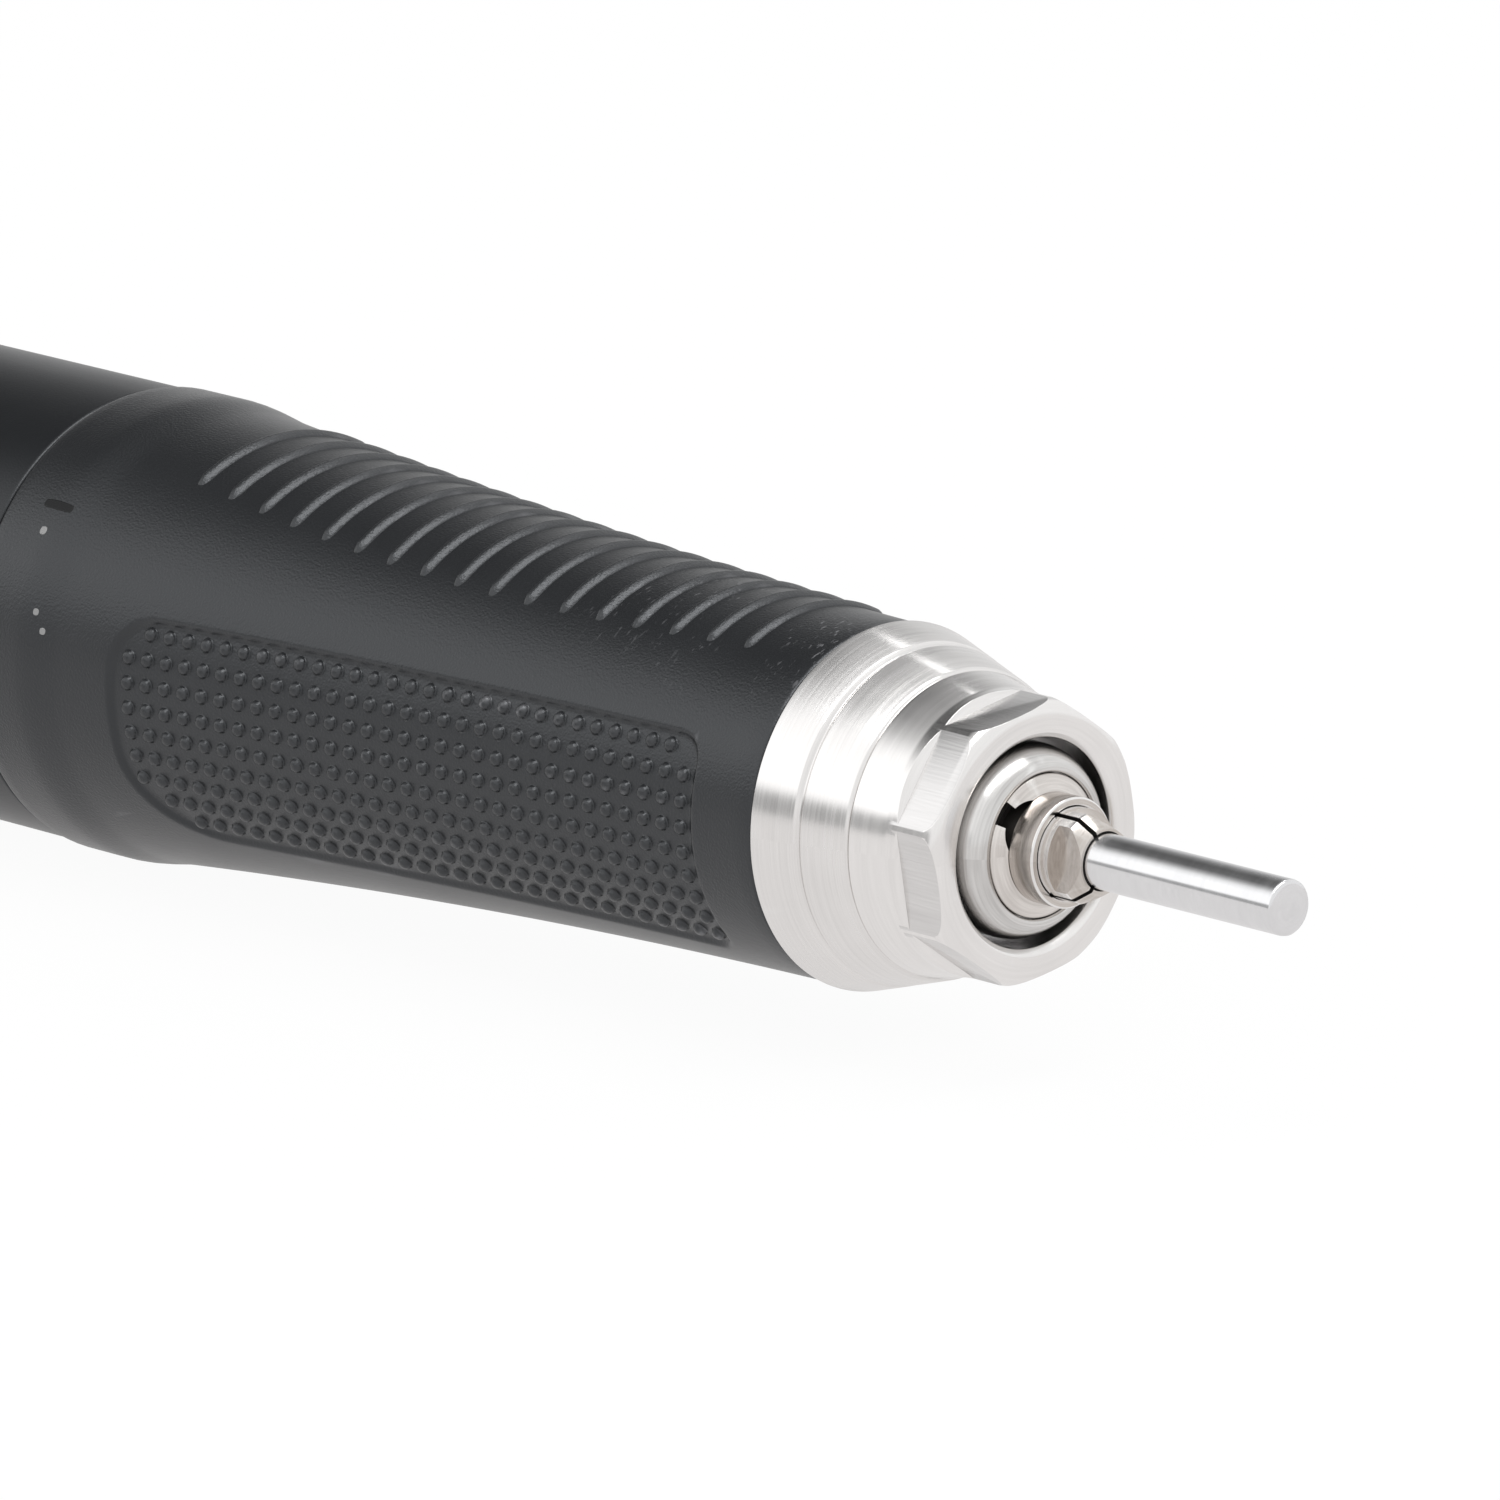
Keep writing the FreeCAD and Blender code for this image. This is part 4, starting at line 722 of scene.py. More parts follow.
MARK_PALE = Finish(
    "mark_pale", (0.30, 0.30, 0.30), (0.20, 0.20, 0.20), 0.5, 0.05, 0.0,
    0.002, grain_group, 6000.0, specular=0.4,
)

INNER_FINISHES: dict[str, Finish] = {
    "grip_polymer": GRIP_BLACK,
    "case_coating": CASE_BLACK,
    "cap_polymer": CAP_BLACK,
    "satin_steel": SATIN_STEEL,
    "chuck_steel": CHUCK_STEEL,
    "tool_steel": TOOL_STEEL,
    "spring_steel": Finish(
        "spring_steel", (0.5, 0.5, 0.5), (0.4, 0.4, 0.41), 0.3, 0.2, 1.0,
        0.001, turning_group, 8000.0,
    ),
    "bearing_steel": Finish(
        "bearing_steel", (0.75, 0.75, 0.75), (0.68, 0.68, 0.69), 0.12, 0.08, 1.0,
        0.0003, turning_group, 14000.0,
    ),
    "soft_iron": Finish(
        "soft_iron", (0.28, 0.28, 0.29), (0.2, 0.2, 0.21), 0.45, 0.2, 1.0,
        0.002, turning_group, 5000.0,
    ),
    "magnet": Finish(
        "magnet", (0.16, 0.16, 0.165), (0.12, 0.12, 0.125), 0.5, 0.15, 0.3,
        0.004, grain_group, 4000.0,
    ),
    "winding_copper": Finish(
        "winding_copper", (0.72, 0.36, 0.16), (0.55, 0.24, 0.1), 0.3, 0.2, 1.0,
        0.01, turning_group, 3500.0,
    ),
    "contact_brass": Finish(
        "contact_brass", (0.78, 0.6, 0.28), (0.66, 0.48, 0.2), 0.28, 0.2, 1.0,
        0.001, turning_group, 9000.0,
    ),
    "carbon": Finish(
        "carbon", (0.05, 0.05, 0.05), (0.03, 0.03, 0.03), 0.6, 0.1, 0.0,
        0.006, grain_group, 7000.0,
    ),
    "insulator": Finish(
        "insulator", (0.3, 0.13, 0.06), (0.22, 0.09, 0.04), 0.35, 0.1, 0.0,
        0.004, grain_group, 3000.0,
    ),
    "housing_alloy": Finish(
        "housing_alloy", (0.72, 0.72, 0.73), (0.6, 0.6, 0.62), 0.3, 0.2, 1.0,
        0.0012, turning_group, 9000.0,
    ),
    "seal_rubber": Finish(
        "seal_rubber", (0.03, 0.03, 0.03), (0.02, 0.02, 0.02), 0.6, 0.1, 0.0,
        0.006, grain_group, 4000.0,
    ),
}


def finish_faces(
    obj: bpy.types.Object, finish: Finish, chosen: Callable[[Vector, Vector], bool]
) -> None:
    """Give some faces of a dressed piece a second finish.

    Args:
        obj: The piece.
        finish: The second finish.
        chosen: Says whether a face takes it, from its middle and its normal in millimetres.
    """
    obj.data.materials.append(finish.build())
    index = len(obj.data.materials) - 1
    for face in obj.data.polygons:
        if chosen(face.center / MM, face.normal):
            face.material_index = index


def dress(
    obj: bpy.types.Object, finish: Finish, body: Body, replaced: Sequence[str] = ()
) -> bpy.types.Object:
    """Give a finished piece its material, its body and the nodes it stands for.

    Args:
        obj: The piece.
        finish: Its finish.
        body: The moving group that it rides on.
        replaced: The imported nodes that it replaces.

    Returns:
        The same piece.
    """
    obj.data.materials.clear()
    obj.data.materials.append(finish.build())
    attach(obj, body.value)
    if replaced:
        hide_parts(*replaced)
    LOG.info("%s: %d faces on %s", obj.name, len(obj.data.polygons), body.value)
    return obj


# Sub-assemblies


@dataclass
class MotorEnd:
    """The black rear half: cord gland, rear cap and motor case."""

    gland_length: float = 11.0
    gland_flange: float = 2.0
    gland_flange_radius: float = 4.6
    gland_radius: float = 3.4
    cord_bore: float = 2.4
    gland_gap: float = 0.05
    cap_front: float = 12.0
    cap_skirt: float = 9.5
    cap_end_radius: float = 6.6
    cap_spigot_front: float = 17.3
    cap_spigot_bore: float = 7.97
    cap_spigot_gap: float = 0.03
    cap_wall: float = 4.0
    cap_ledge: float = 1.0
    cap_steps: int = 24
    case_radius: float = 10.05
    case_bore: float = 9.0
    case_front: float = 71.13
    spigot_front: float = 78.03
    spigot_radius: float = 8.3
    thread_bore: float = 7.0
    thread_rear: float = 67.03
    ring_rear: float = 73.88
    ring_front: float = 75.28
    ring_depth: float = 0.7

    def gland(self) -> None:
        """The flanged gland that the motor cord enters through."""
        obj = lathe(
            "gland_body",
            [
                (0, self.cord_bore, 0.25),
                (0, self.gland_flange_radius, 0.5),
                (self.gland_flange, self.gland_flange_radius, 0.1),
                (self.gland_flange, self.gland_radius, 0),
                (self.gland_length, self.gland_radius, 0.2),
                (self.gland_length, self.cord_bore, 0.2),
            ],
        )
        dress(obj, CAP_BLACK, Body.FRAME, ["cord_gland"])

    def cap(self) -> None:
        """The rounded rear cap with its spigot in the case."""
        rise = self.case_radius - self.cap_end_radius
        length = self.cap_skirt - self.gland_flange
        crown = (length**2 + rise**2) / (2 * rise)
        centre = self.case_radius - crown
        arc = []
        for step in range(1, self.cap_steps):
            x = self.gland_flange + length * step / self.cap_steps
            ahead = self.cap_skirt - x
            arc.append((x, centre + math.sqrt(crown**2 - ahead**2), 0.0))
        bore = self.gland_radius + self.gland_gap
        spigot = self.case_bore - self.cap_spigot_gap
        floor = self.gland_flange + self.cap_wall
        obj = lathe(
            "cap_shell",
            [
                (self.gland_flange, bore, 0.05),
                (self.gland_flange, self.cap_end_radius, 0.12),
                *arc,
                (self.cap_skirt, self.case_radius, 0),
                (self.cap_front, self.case_radius, 0.08),
                (self.cap_front, spigot, 0),
                (self.cap_spigot_front, spigot, 0.15),
                (self.cap_spigot_front, self.cap_spigot_bore, 0.1),
                (self.cap_front, self.cap_spigot_bore, 0),
                (floor, bore + self.cap_ledge, 0),
                (floor, bore, 0),
            ],
        )
        dress(obj, CAP_BLACK, Body.FRAME, ["rear_cap"])

    def case(self) -> None:
        """The coated tube round the motor, with the spigot that carries the grip."""
        obj = lathe(
            "case_shell",
            [
                (self.cap_front, self.case_bore, 0.05),
                (self.cap_front, self.case_radius, 0.08),
                (self.case_front, self.case_radius, 0.22),
                (self.case_front, self.spigot_radius, 0),
                (self.ring_rear, self.spigot_radius, 0.05),
                (self.ring_rear, self.spigot_radius - self.ring_depth, 0),
                (self.ring_front, self.spigot_radius - self.ring_depth, 0),
                (self.ring_front, self.spigot_radius, 0.05),
                (self.spigot_front, self.spigot_radius, 0.1),
                (self.spigot_front, self.thread_bore, 0.1),
                (self.thread_rear, self.thread_bore, 0),
                (self.thread_rear, self.case_bore, 0),
            ],
            steps=160,
        )
        dress(obj, CASE_BLACK, Body.FRAME, ["motor_case"])

    def build(self) -> None:
        """Make every piece of the rear half."""
        self.gland()
        self.cap()
        self.case()


@dataclass
class Panel:
    """Outline of one sunken grip panel, unrolled: length along X, height around the grip."""

    around: Callable[[float], float]
    rear: float = 79.45
    front: float = 113.6
    middle: float = 192.2
    half: float = 5.27
    nominal_radius: float = 8.6
    up: float = -1.0
    front_corner: float = 1.3
    rear_upper_corner: float = 2.5
    rear_lower_corner: float = 4.5
    margin: float = 2.4

    @property
    def reach(self) -> tuple[float, float]:
        """Half the panel's length and half its unrolled height."""
        return (self.front - self.rear) / 2, self.half

    def radius(self, x: float) -> float:
        """Radius at which the panel is unrolled, at a place along the axis."""
        return self.around(min(max(x, self.rear - self.margin), self.front + self.margin))

    def offset(self, degrees: float) -> float:
        """Angle from the panel's middle, between -180 and 180 degrees."""
        return (degrees - self.middle + 180) % 360 - 180

    def spread(self, x: float, degrees: float) -> float:
        """Angle of a grid line at a place along the axis, so that it keeps beside the panel.

        Args:
            x: Place along the axis.
            degrees: Angle of the line at the nominal radius.

        Returns:
            Its angle there. Half way between the two panels it doesn't change.
        """
        off = self.offset(degrees)
        scale = self.nominal_radius / self.radius(x)
        side = math.degrees((self.half + self.margin) / self.nominal_radius)
        far = abs(self.offset(90.0 if off * self.up > 0 else 270.0))
        if abs(off) <= side:
            return self.middle + off * scale
        share = (abs(off) - side) / (far - side)
        return self.middle + math.copysign(side * scale + share * (far - side * scale), off)

    def local(self, x: float, degrees: float) -> Point:
        """Place on the grip as a place on the panel, from its middle, forwards and up."""
        height = self.up * math.radians(self.offset(degrees)) * self.radius(x)
        return x - (self.front + self.rear) / 2, height

    def back(self, a: float, b: float) -> Point:
        """Place on the panel as a place on the grip."""
        x = a + (self.front + self.rear) / 2
        return x, self.middle + math.degrees(self.up * b / self.radius(x))

    def corner(self, a: float, b: float) -> float:
        """Radius of the corner nearest to a place on the panel."""
        if a > 0:
            return self.front_corner
        return self.rear_upper_corner if b > 0 else self.rear_lower_corner

    def inset(self, a: float, b: float) -> float:
        """How far inside the square outline a place lies. Outside it is negative."""
        length, height = self.reach
        return min(length - abs(a), height - abs(b))

    def depth_inside(self, a: float, b: float) -> float:
        """How far inside the rounded outline a place lies."""
        length, height = self.reach
        radius = self.corner(a, b)
        over_a, over_b = abs(a) - (length - radius), abs(b) - (height - radius)
        if over_a > 0 and over_b > 0:
            return radius - math.hypot(over_a, over_b)
        return self.inset(a, b)

    def warp(self, a: float, b: float) -> Point:
        """Move a place from its square ring to the rounded ring at the same inset.

        Args:
            a: Place along the panel.
            b: Place across it.

        Returns:
            The moved place.
        """
        inset = self.inset(a, b)
        if inset <= -self.margin:
            return a, b
        radius = self.corner(a, b)
        radius = max(radius - inset, 0.0) if inset > 0 else radius * (1 - (inset / self.margin) ** 2)
        if radius <= 0:
            return a, b
        length, height = (side - inset for side in self.reach)
        on_end = length - abs(a) <= height - abs(b)
        side, run = (height, abs(b)) if on_end else (length, abs(a))
        radius = min(radius, length, height)
        straight = side - radius
        travel = run / side * (straight + radius * math.pi / 4)
        if travel <= straight:
            first, second = travel, 0.0
        else:
            turn = (travel - straight) / radius
            first, second = straight + radius * math.sin(turn), radius * (1 - math.cos(turn))
        if on_end:
            new_a, new_b = length - second, first
        else:
            new_a, new_b = first, height - second
        return math.copysign(new_a, a), math.copysign(new_b, b)


@dataclass
class Grip:
    """The twist grip: a waisted sleeve with ribs on top and a studded panel on each side."""

    rear: float = 71.28
    front: float = 117.08
    band_radius: float = 10.2
    band_length: float = 3.4
    run_out: float = 1.3
    blend: float = 0.8
    swell_radius: float = 9.9
    front_radius: float = 7.62
    waist_radius: float = 520.0
    edge: float = 0.15
    front_edge: float = 0.2
    rear_bore: float = 8.4
    rear_bore_front: float = 79.83
    sleeve_pocket: float = 7.48
    pocket_front: float = 98.01
    front_bore: float = 6.7
    panel_depth: float = 0.22
    rib_count: int = 17
    rib_pitch: float = 2.05
    rib_first: float = 4.1
    rib_base: float = 0.62
    rib_height: float = 0.2
    rib_half_end: float = 31.0
    rib_half_rise: float = 7.0
    rib_fade: float = 3.0
    rib_end_width: float = 0.45
    rib_end_drop: float = 0.25
    rib_steps: int = 40
    stud_rows: int = 9
    stud_row: float = 1.127
    stud_lift: float = 0.085
    stud_pitch: float = 1.079
    stud_radius: float = 0.325
    stud_height: float = 0.25
    stud_border: float = 0.56
    stud_front: float = 0.8
    stud_sides: int = 14
    mark_lines: int = 12
    mark_rise: float = 0.012
    mark_sink: float = 0.04
    band_cell: float = 0.5
    band_cells: int = 4
    slope_cell: float = 0.2
    slope_cells: int = 13
    slope_lead: float = 0.6
    cell_along: float = 0.8
    cell_across: float = 0.5
    cell_turn: float = 3.0
    widest_turn: float = 8.0

    # The index marks: x, turn in degrees, then length and width, or one size for a round dot
    index_bar = (74.2, 138.6, 1.9, 0.5)
    index_dots = ((74.1, 145.7, 0.42), (75.1, 165.3, 0.34), (75.6, 169.6, 0.34))
    # Roundings of the two ends: distance from the end and fall of the radius there
    rear_round = ((0.0, 0.22), (0.03, 0.1), (0.1, 0.03), (0.22, 0.0))
    front_round = ((0.08, 0.025), (0.02, 0.09), (0.0, 0.2))
    # Section of a rib from rear to front, as shares of its base and its height
    rib_section = (
        (-0.5, -0.2), (-0.42, 0.2), (-0.34, 0.62), (-0.25, 0.9), (-0.15, 1.0), (-0.05, 0.97),
        (0.05, 0.86), (0.16, 0.68), (0.27, 0.48), (0.37, 0.26), (0.45, 0.04), (0.5, -0.2),
    )
    # Section of a stud from its rim to its top, as shares of its radius and its height
    stud_section = (
        (1.16, -0.06), (1.05, 0.03), (0.98, 0.18), (0.9, 0.44), (0.75, 0.72),
        (0.52, 0.9), (0.27, 0.98),
    )
    # Border of a sunken panel: distance outside its outline and depth there
    rings = (
        (2.4, 0.0), (2.0, 0.0), (1.6, 0.0), (1.25, 0.0), (0.95, 0.0), (0.7, 0.0), (0.5, 0.0),
        (0.32, 0.0), (0.17, 0.0), (0.09, 0.003),
        (0.03, 0.022), (-0.04, 0.075), (-0.11, 0.145), (-0.18, 0.197), (-0.25, 0.217),
        (-0.34, 0.22), (-0.6, 0.22), (-1.0, 0.22), (-1.6, 0.22),
    )

    def __post_init__(self) -> None:
        """Place the two panels, the far one as the mirror of the near one."""
        self.near = Panel(self.waist)
        self.far = Panel(self.waist, middle=180 - self.near.middle, up=1.0)

    def waist(self, x: float) -> float:
        """Outside radius of the plain grip at a place along it."""
        start = Vector((self.rear + self.band_length + self.run_out, self.swell_radius))
        end = Vector((self.front - self.edge, self.front_radius))
        chord = end - start
        height = math.sqrt(self.waist_radius**2 - (chord.length / 2) ** 2)
        centre = (start + end) / 2 + Vector((-chord.y, chord.x)).normalized() * height
        low, high = start.x - self.run_out - self.blend, start.x + self.blend
        if x <= low:
            return self.band_radius
        reach = max(x, high) - centre.x
        radius = centre.y - math.sqrt(self.waist_radius**2 - reach**2)
        if x >= high:
            return radius
        slope = (high - low) * reach / math.sqrt(self.waist_radius**2 - reach**2)
        t = (x - low) / (high - low)
        fall = t * t * (3 - 2 * t)
        return self.band_radius + (radius - self.band_radius) * fall + slope * t * t * (t - 1)

    def depth(self, inset: float) -> float:
        """How deep the surface is sunk at a distance inside the panel's outline."""
        if inset <= -self.rings[0][0]:
            return 0.0
        for (outer, first), (inner, second) in zip(self.rings, self.rings[1:]):
            if inset <= -inner:
                t = (inset + outer) / (outer - inner)
                return first + (second - first) * t
        return self.panel_depth

    def lines(self, half: float, step: float) -> list[float]:
        """Grid lines across a panel from its middle, dense at its outline.

        Args:
            half: Half the panel's size in that direction.
            step: Spacing away from the outline.

        Returns:
            Places from the negative to the positive margin.
        """
        edge = [half + offset for offset, _ in self.rings]
        inner = edge[-1]
        count = max(2, round(2 * inner / step))
        inside = [inner - 2 * inner * k / count for k in range(1, count)]
        upper = edge + inside
        return sorted(upper + [-place for place in edge])

    def shell(self) -> bpy.types.Object:
        """The sleeve itself, on a grid whose lines follow the panels' outlines."""
        length, height = self.near.reach
        middle = (self.near.front + self.near.rear) / 2
        waist = [middle + a for a in self.lines(length, self.cell_along)]
        band_front = self.rear + self.band_length
        profile: list[tuple[float, Optional[float]]] = [
            (self.rear + along, self.band_radius - fall) for along, fall in self.rear_round
        ]
        round_front = profile[-1][0]
        band = [round_front + k * self.band_cell for k in range(1, self.band_cells + 1)]
        slope = [band_front - self.slope_lead + k * self.slope_cell for k in range(self.slope_cells)]
        profile += [(x, None) for x in band + slope + waist]
        front_radius = self.waist(self.front - self.front_edge)
        profile.append((self.front - self.front_edge, None))
        profile += [(self.front - along, front_radius - fall) for along, fall in self.front_round]
        profile += [
            (self.front, self.front_bore),
            (self.pocket_front, self.front_bore),
            (self.pocket_front, self.sleeve_pocket),
            (self.rear_bore_front, self.sleeve_pocket),
            (self.rear_bore_front, self.rear_bore),
            (self.rear, self.rear_bore),
        ]
        turns = []
        for panel in (self.far, self.near):
            rows = self.lines(height, self.cell_across)
            turns += [panel.middle + math.degrees(b / panel.nominal_radius) for b in rows]
        turns.sort()
        spread: list[float] = []
        for here, following in zip(turns, turns[1:] + [turns[0] + 360]):
            spread.append(here)
            gap = following - here
            if gap > self.widest_turn:
                parts = round(gap / self.cell_turn)
                spread += [here + gap * k / parts for k in range(1, parts)]
        across, along = len(profile), len(spread)

        def place(i: int, j: int) -> Vector:
            x, radius = profile[i % across]
            turn = spread[j % along]
            nearest = min((self.near, self.far), key=lambda panel: abs(panel.offset(turn)))
            turn = nearest.spread(x, turn)
            if radius is not None:
                return polar(x, radius, turn)
            sunk = 0.0
            for panel in (self.near, self.far):
                a, b = panel.local(x, turn)
                inset = panel.inset(a, b)
                if inset > -panel.margin:
                    x, turn = panel.back(*panel.warp(a, b))
                    sunk = self.depth(inset)
                    break
            return polar(x, self.waist(x) - sunk, turn)

        obj = sheet_mesh("grip_shell", across, along, place)
        return tidy_mesh(obj, smooth=60)

    def ribs(self) -> bpy.types.Object:
        """The low ridges across the top of the grip, with soft ends."""
        made = []
        for index in range(self.rib_count):
            x = self.front - self.rib_first - index * self.rib_pitch
            half = self.rib_half_end + self.rib_half_rise * math.sin(
                math.pi * index / (self.rib_count - 1)
            )

            def place(i: int, j: int, x: float = x, half: float = half) -> Vector:
                along, up = self.rib_section[i]
                turn = math.sin(math.pi * (j / self.rib_steps - 0.5))
                fade = min(1.0, (1 - abs(turn)) * half / self.rib_fade)
                width = self.rib_end_width + (1 - self.rib_end_width) * fade**0.5
                spot = x + along * self.rib_base * width
                rise = up * fade**0.5 - self.rib_end_drop * (1 - fade)
                return polar(spot, self.waist(spot) + self.rib_height * rise, 90 + half * turn)

            cells = len(self.rib_section) - 1
            made.append(sheet_mesh(f"rib_{index}", cells, self.rib_steps, place))
        obj = joined("grip_ribs", made)
        return tidy_mesh(obj, smooth=70)

    def studs(self, name: str, panel: Panel) -> bpy.types.Object:
        """The rows of small domes on one panel.

        Args:
            name: Name of the piece.
            panel: The panel that they stand on.

        Returns:
            The joined studs.
        """
        clear_selection()
        bpy.ops.mesh.primitive_uv_sphere_add(
            segments=self.stud_sides, ring_count=2 * len(self.stud_section), radius=1.0
        )
        pattern = bpy.context.object
        bpy.ops.object.mode_set(mode="EDIT")
        bpy.ops.mesh.select_all(action="SELECT")
        bpy.ops.mesh.bisect(
            plane_co=(0, 0, 0), plane_no=(0, 0, 1), clear_inner=True, use_fill=False
        )
        bpy.ops.object.mode_set(mode="OBJECT")
        heights = sorted({round(v.co.z, 4) for v in pattern.data.vertices})
        levels = (*self.stud_section, (0.0, 1.0))
        for vertex in pattern.data.vertices:
            level = min(heights.index(round(vertex.co.z, 4)), len(levels) - 1)
            out, up = levels[level]
            flat = Vector((vertex.co.x, vertex.co.y))
            if flat.length > 0:
                flat = flat.normalized() * out * self.stud_radius
            vertex.co = Vector((flat.x, flat.y, up * self.stud_height)) * MM
        length, _ = panel.reach
        made = []
        columns = int(2 * length / self.stud_pitch)
        for column in range(columns):
            a = length - self.stud_front - column * self.stud_pitch
            for row in range(self.stud_rows):
                b = (row - (self.stud_rows - 1) / 2) * self.stud_row + self.stud_lift
                if panel.depth_inside(a, b) < self.stud_border:
                    continue
                x, degrees = panel.back(a, b)
                radius = self.waist(x) - self.panel_depth
                slope = math.atan(self.waist(x + 0.5) - self.waist(x - 0.5))
                outward = (polar(0, 1, degrees)).normalized()
                along = Vector((math.cos(slope), 0, 0)) + outward * math.sin(slope)
                normal = outward * math.cos(slope) - Vector((math.sin(slope), 0, 0))
                side = normal.cross(along)
                frame = Matrix((along, side, normal)).transposed().to_4x4()
                copy = pattern.copy()
                copy.data = pattern.data.copy()
                bpy.context.collection.objects.link(copy)
                copy.data.transform(Matrix.Translation(polar(x, radius, degrees)) @ frame)
                made.append(copy)
        bpy.data.objects.remove(pattern)
        obj = joined(name, made)
        pick(obj)
        bpy.ops.object.shade_smooth()
        return obj

    def mark(self, name: str, x: float, turn: float, length: float, width: float) -> bpy.types.Object:
        """A small inlaid index mark with round ends on the rear of the grip.

        Args:
            name: Name of the piece.
            x: Its middle along the axis.
            turn: Its middle around the axis, in degrees.
            length: Its size along the axis.
            width: Its size around the axis.

        Returns:
            The mark.
        """
        lines = self.mark_lines
        round_end = width / length

        def place(i: int, j: int) -> Vector:
            u, v = 2 * i / lines - 1, 2 * j / lines - 1
            side = v * math.sqrt(1 - u * u / 2)
            run = u * (1 - round_end + round_end * math.sqrt(1 - v * v / 2))
            sunk = self.mark_sink if max(abs(u), abs(v)) == 1 else 0.0
            along = x + run * length / 2
            around = turn + math.degrees(side * width / 2 / self.band_radius)
            return polar(along, self.waist(along) + self.mark_rise - sunk, around)

        return tidy_mesh(sheet_mesh(name, lines, lines, place), smooth=60)

    def build(self) -> None:
        """Make the sleeve, its ribs, its studs and its index marks."""
        dress(self.shell(), GRIP_BLACK, Body.GRIP, ["grip_sleeve"])
        dress(self.ribs(), GRIP_BLACK, Body.GRIP)
        for name, panel in (("studs_near", self.near), ("studs_far", self.far)):
            dress(self.studs(name, panel), GRIP_BLACK, Body.GRIP)
        dress(self.mark("index_bar", *self.index_bar), MARK_DARK, Body.GRIP)
        dots = [
            self.mark(f"dot_{turn:.0f}", x, turn, size, size) for x, turn, size in self.index_dots
        ]
        dress(joined("index_dots", dots), MARK_PALE, Body.GRIP)


@dataclass
class MetalNose:
    """The turned cone in front of the grip and the flatted nut that clamps it."""

    cone_rear: float = 117.23
    cone_front: float = 121.63
    cone_rear_radius: float = 7.8
    cone_front_radius: float = 6.52
    cone_bore: float = 5.53
    groove_offset: float = 2.15
    groove_depth: float = 0.16
    groove_width: float = 0.36
    cone_edge: float = 0.15
    thread_bore: float = 4.95
    skirt_radius: float = 5.5
    skirt_rear: float = 117.53
    nut_rear_radius: float = 6.46
    nut_radius: float = 6.0
    flat_rear: float = 123.33
    flat_front: float = 125.43
    nut_face: float = 126.13
    nut_round: float = 0.7
    nut_round_steps: int = 6
    nut_bore: float = 4.4
    nut_bevel: float = 0.25
    nut_step: float = 122.58
    flat_radius: float = 5.6
    flat_count: int = 8
    flat_turn: float = 10.1
    run_out: float = 0.6
    cutter_half: float = 4.0
    cutter_past: float = 0.5

    def cone(self) -> None:
        """The cone with its single groove."""
        length = self.cone_front - self.cone_rear - 2 * self.cone_edge
        slope = (self.cone_rear_radius - self.cone_front_radius) / length
        middle = self.cone_rear + self.groove_offset
        radius = self.cone_rear_radius - (self.groove_offset - self.cone_edge) * slope
        half = self.groove_width / 2
        obj = lathe(
            "nose_cone_shell",
            [
                (self.cone_rear, self.cone_bore, 0),
                (self.cone_rear, self.cone_rear_radius, 0.16),
                (middle - half, radius + half * slope, 0.05),
                (middle - half * 0.25, radius - self.groove_depth, 0.04),
                (middle + half * 0.25, radius - self.groove_depth, 0.04),
                (middle + half, radius - half * slope, 0.05),
                (self.cone_front, self.cone_front_radius, 0.16),
                (self.cone_front, self.cone_bore, 0),
            ],
            steps=192,
        )
        dress(obj, SATIN_STEEL, Body.FRAME, ["nose_cone"])

    def flat_cutter(self, turn: float) -> bpy.types.Object:
        """What the milling cutter takes away for one flat, with its slanted run-out."""
        obj = start_mesh("flat_cutter")
        top = self.nut_rear_radius + self.run_out
        front = self.nut_face + self.cutter_past
        draw(
            [
                (self.flat_rear + self.run_out, self.flat_radius),
                (front, self.flat_radius),
                (front, top),
                (self.flat_rear - self.run_out / 2, top),
            ],
            True,
        )
        bpy.ops.mesh.edge_face_add()
        reach = self.cutter_half * MM
        bpy.ops.transform.translate(value=(0, -reach, 0))
        bpy.ops.mesh.extrude_region_move(TRANSFORM_OT_translate={"value": (0, 2 * reach, 0)})
        bpy.ops.mesh.select_all(action="SELECT")
        bpy.ops.mesh.normals_make_consistent(inside=False)
        bpy.ops.object.mode_set(mode="OBJECT")
        obj.data.transform(Matrix.Rotation(math.radians(turn), 4, "X"))
        return obj

    def nut(self) -> None:
        """The front nut with its eight flats."""
        round_points = []
        centre = self.nut_radius - self.nut_round
        for step in range(self.nut_round_steps + 1):
            turn = math.radians(90 - step * 90 / self.nut_round_steps)
            x = self.flat_front + self.nut_round * math.cos(turn)
            round_points.append((x, centre + self.nut_round * math.sin(turn), 0.0))
        obj = lathe(
            "front_nut_shell",
            [
                (self.skirt_rear, self.thread_bore, 0.05),
                (self.skirt_rear, self.skirt_radius, 0.1),
                (self.cone_front, self.skirt_radius, 0),
                (self.cone_front, self.nut_rear_radius, 0.14),
                (self.flat_rear, self.nut_radius, 0.1),
                *round_points,
                (self.nut_face, self.nut_bore + self.nut_bevel, 0.08),
                (self.nut_face - self.nut_bevel, self.nut_bore, 0.06),
                (self.nut_step, self.nut_bore, 0.05),
                (self.nut_step, self.thread_bore, 0),
            ],
            steps=192,
        )
        pitch = 360 / self.flat_count
        cut_away(obj, [self.flat_cutter(self.flat_turn + k * pitch) for k in range(self.flat_count)])
        tidy_mesh(obj, smooth=25)
        ease_edges(obj, 0.05, angle=24)
        dress(obj, NUT_STEEL, Body.FRAME, ["front_nut"])

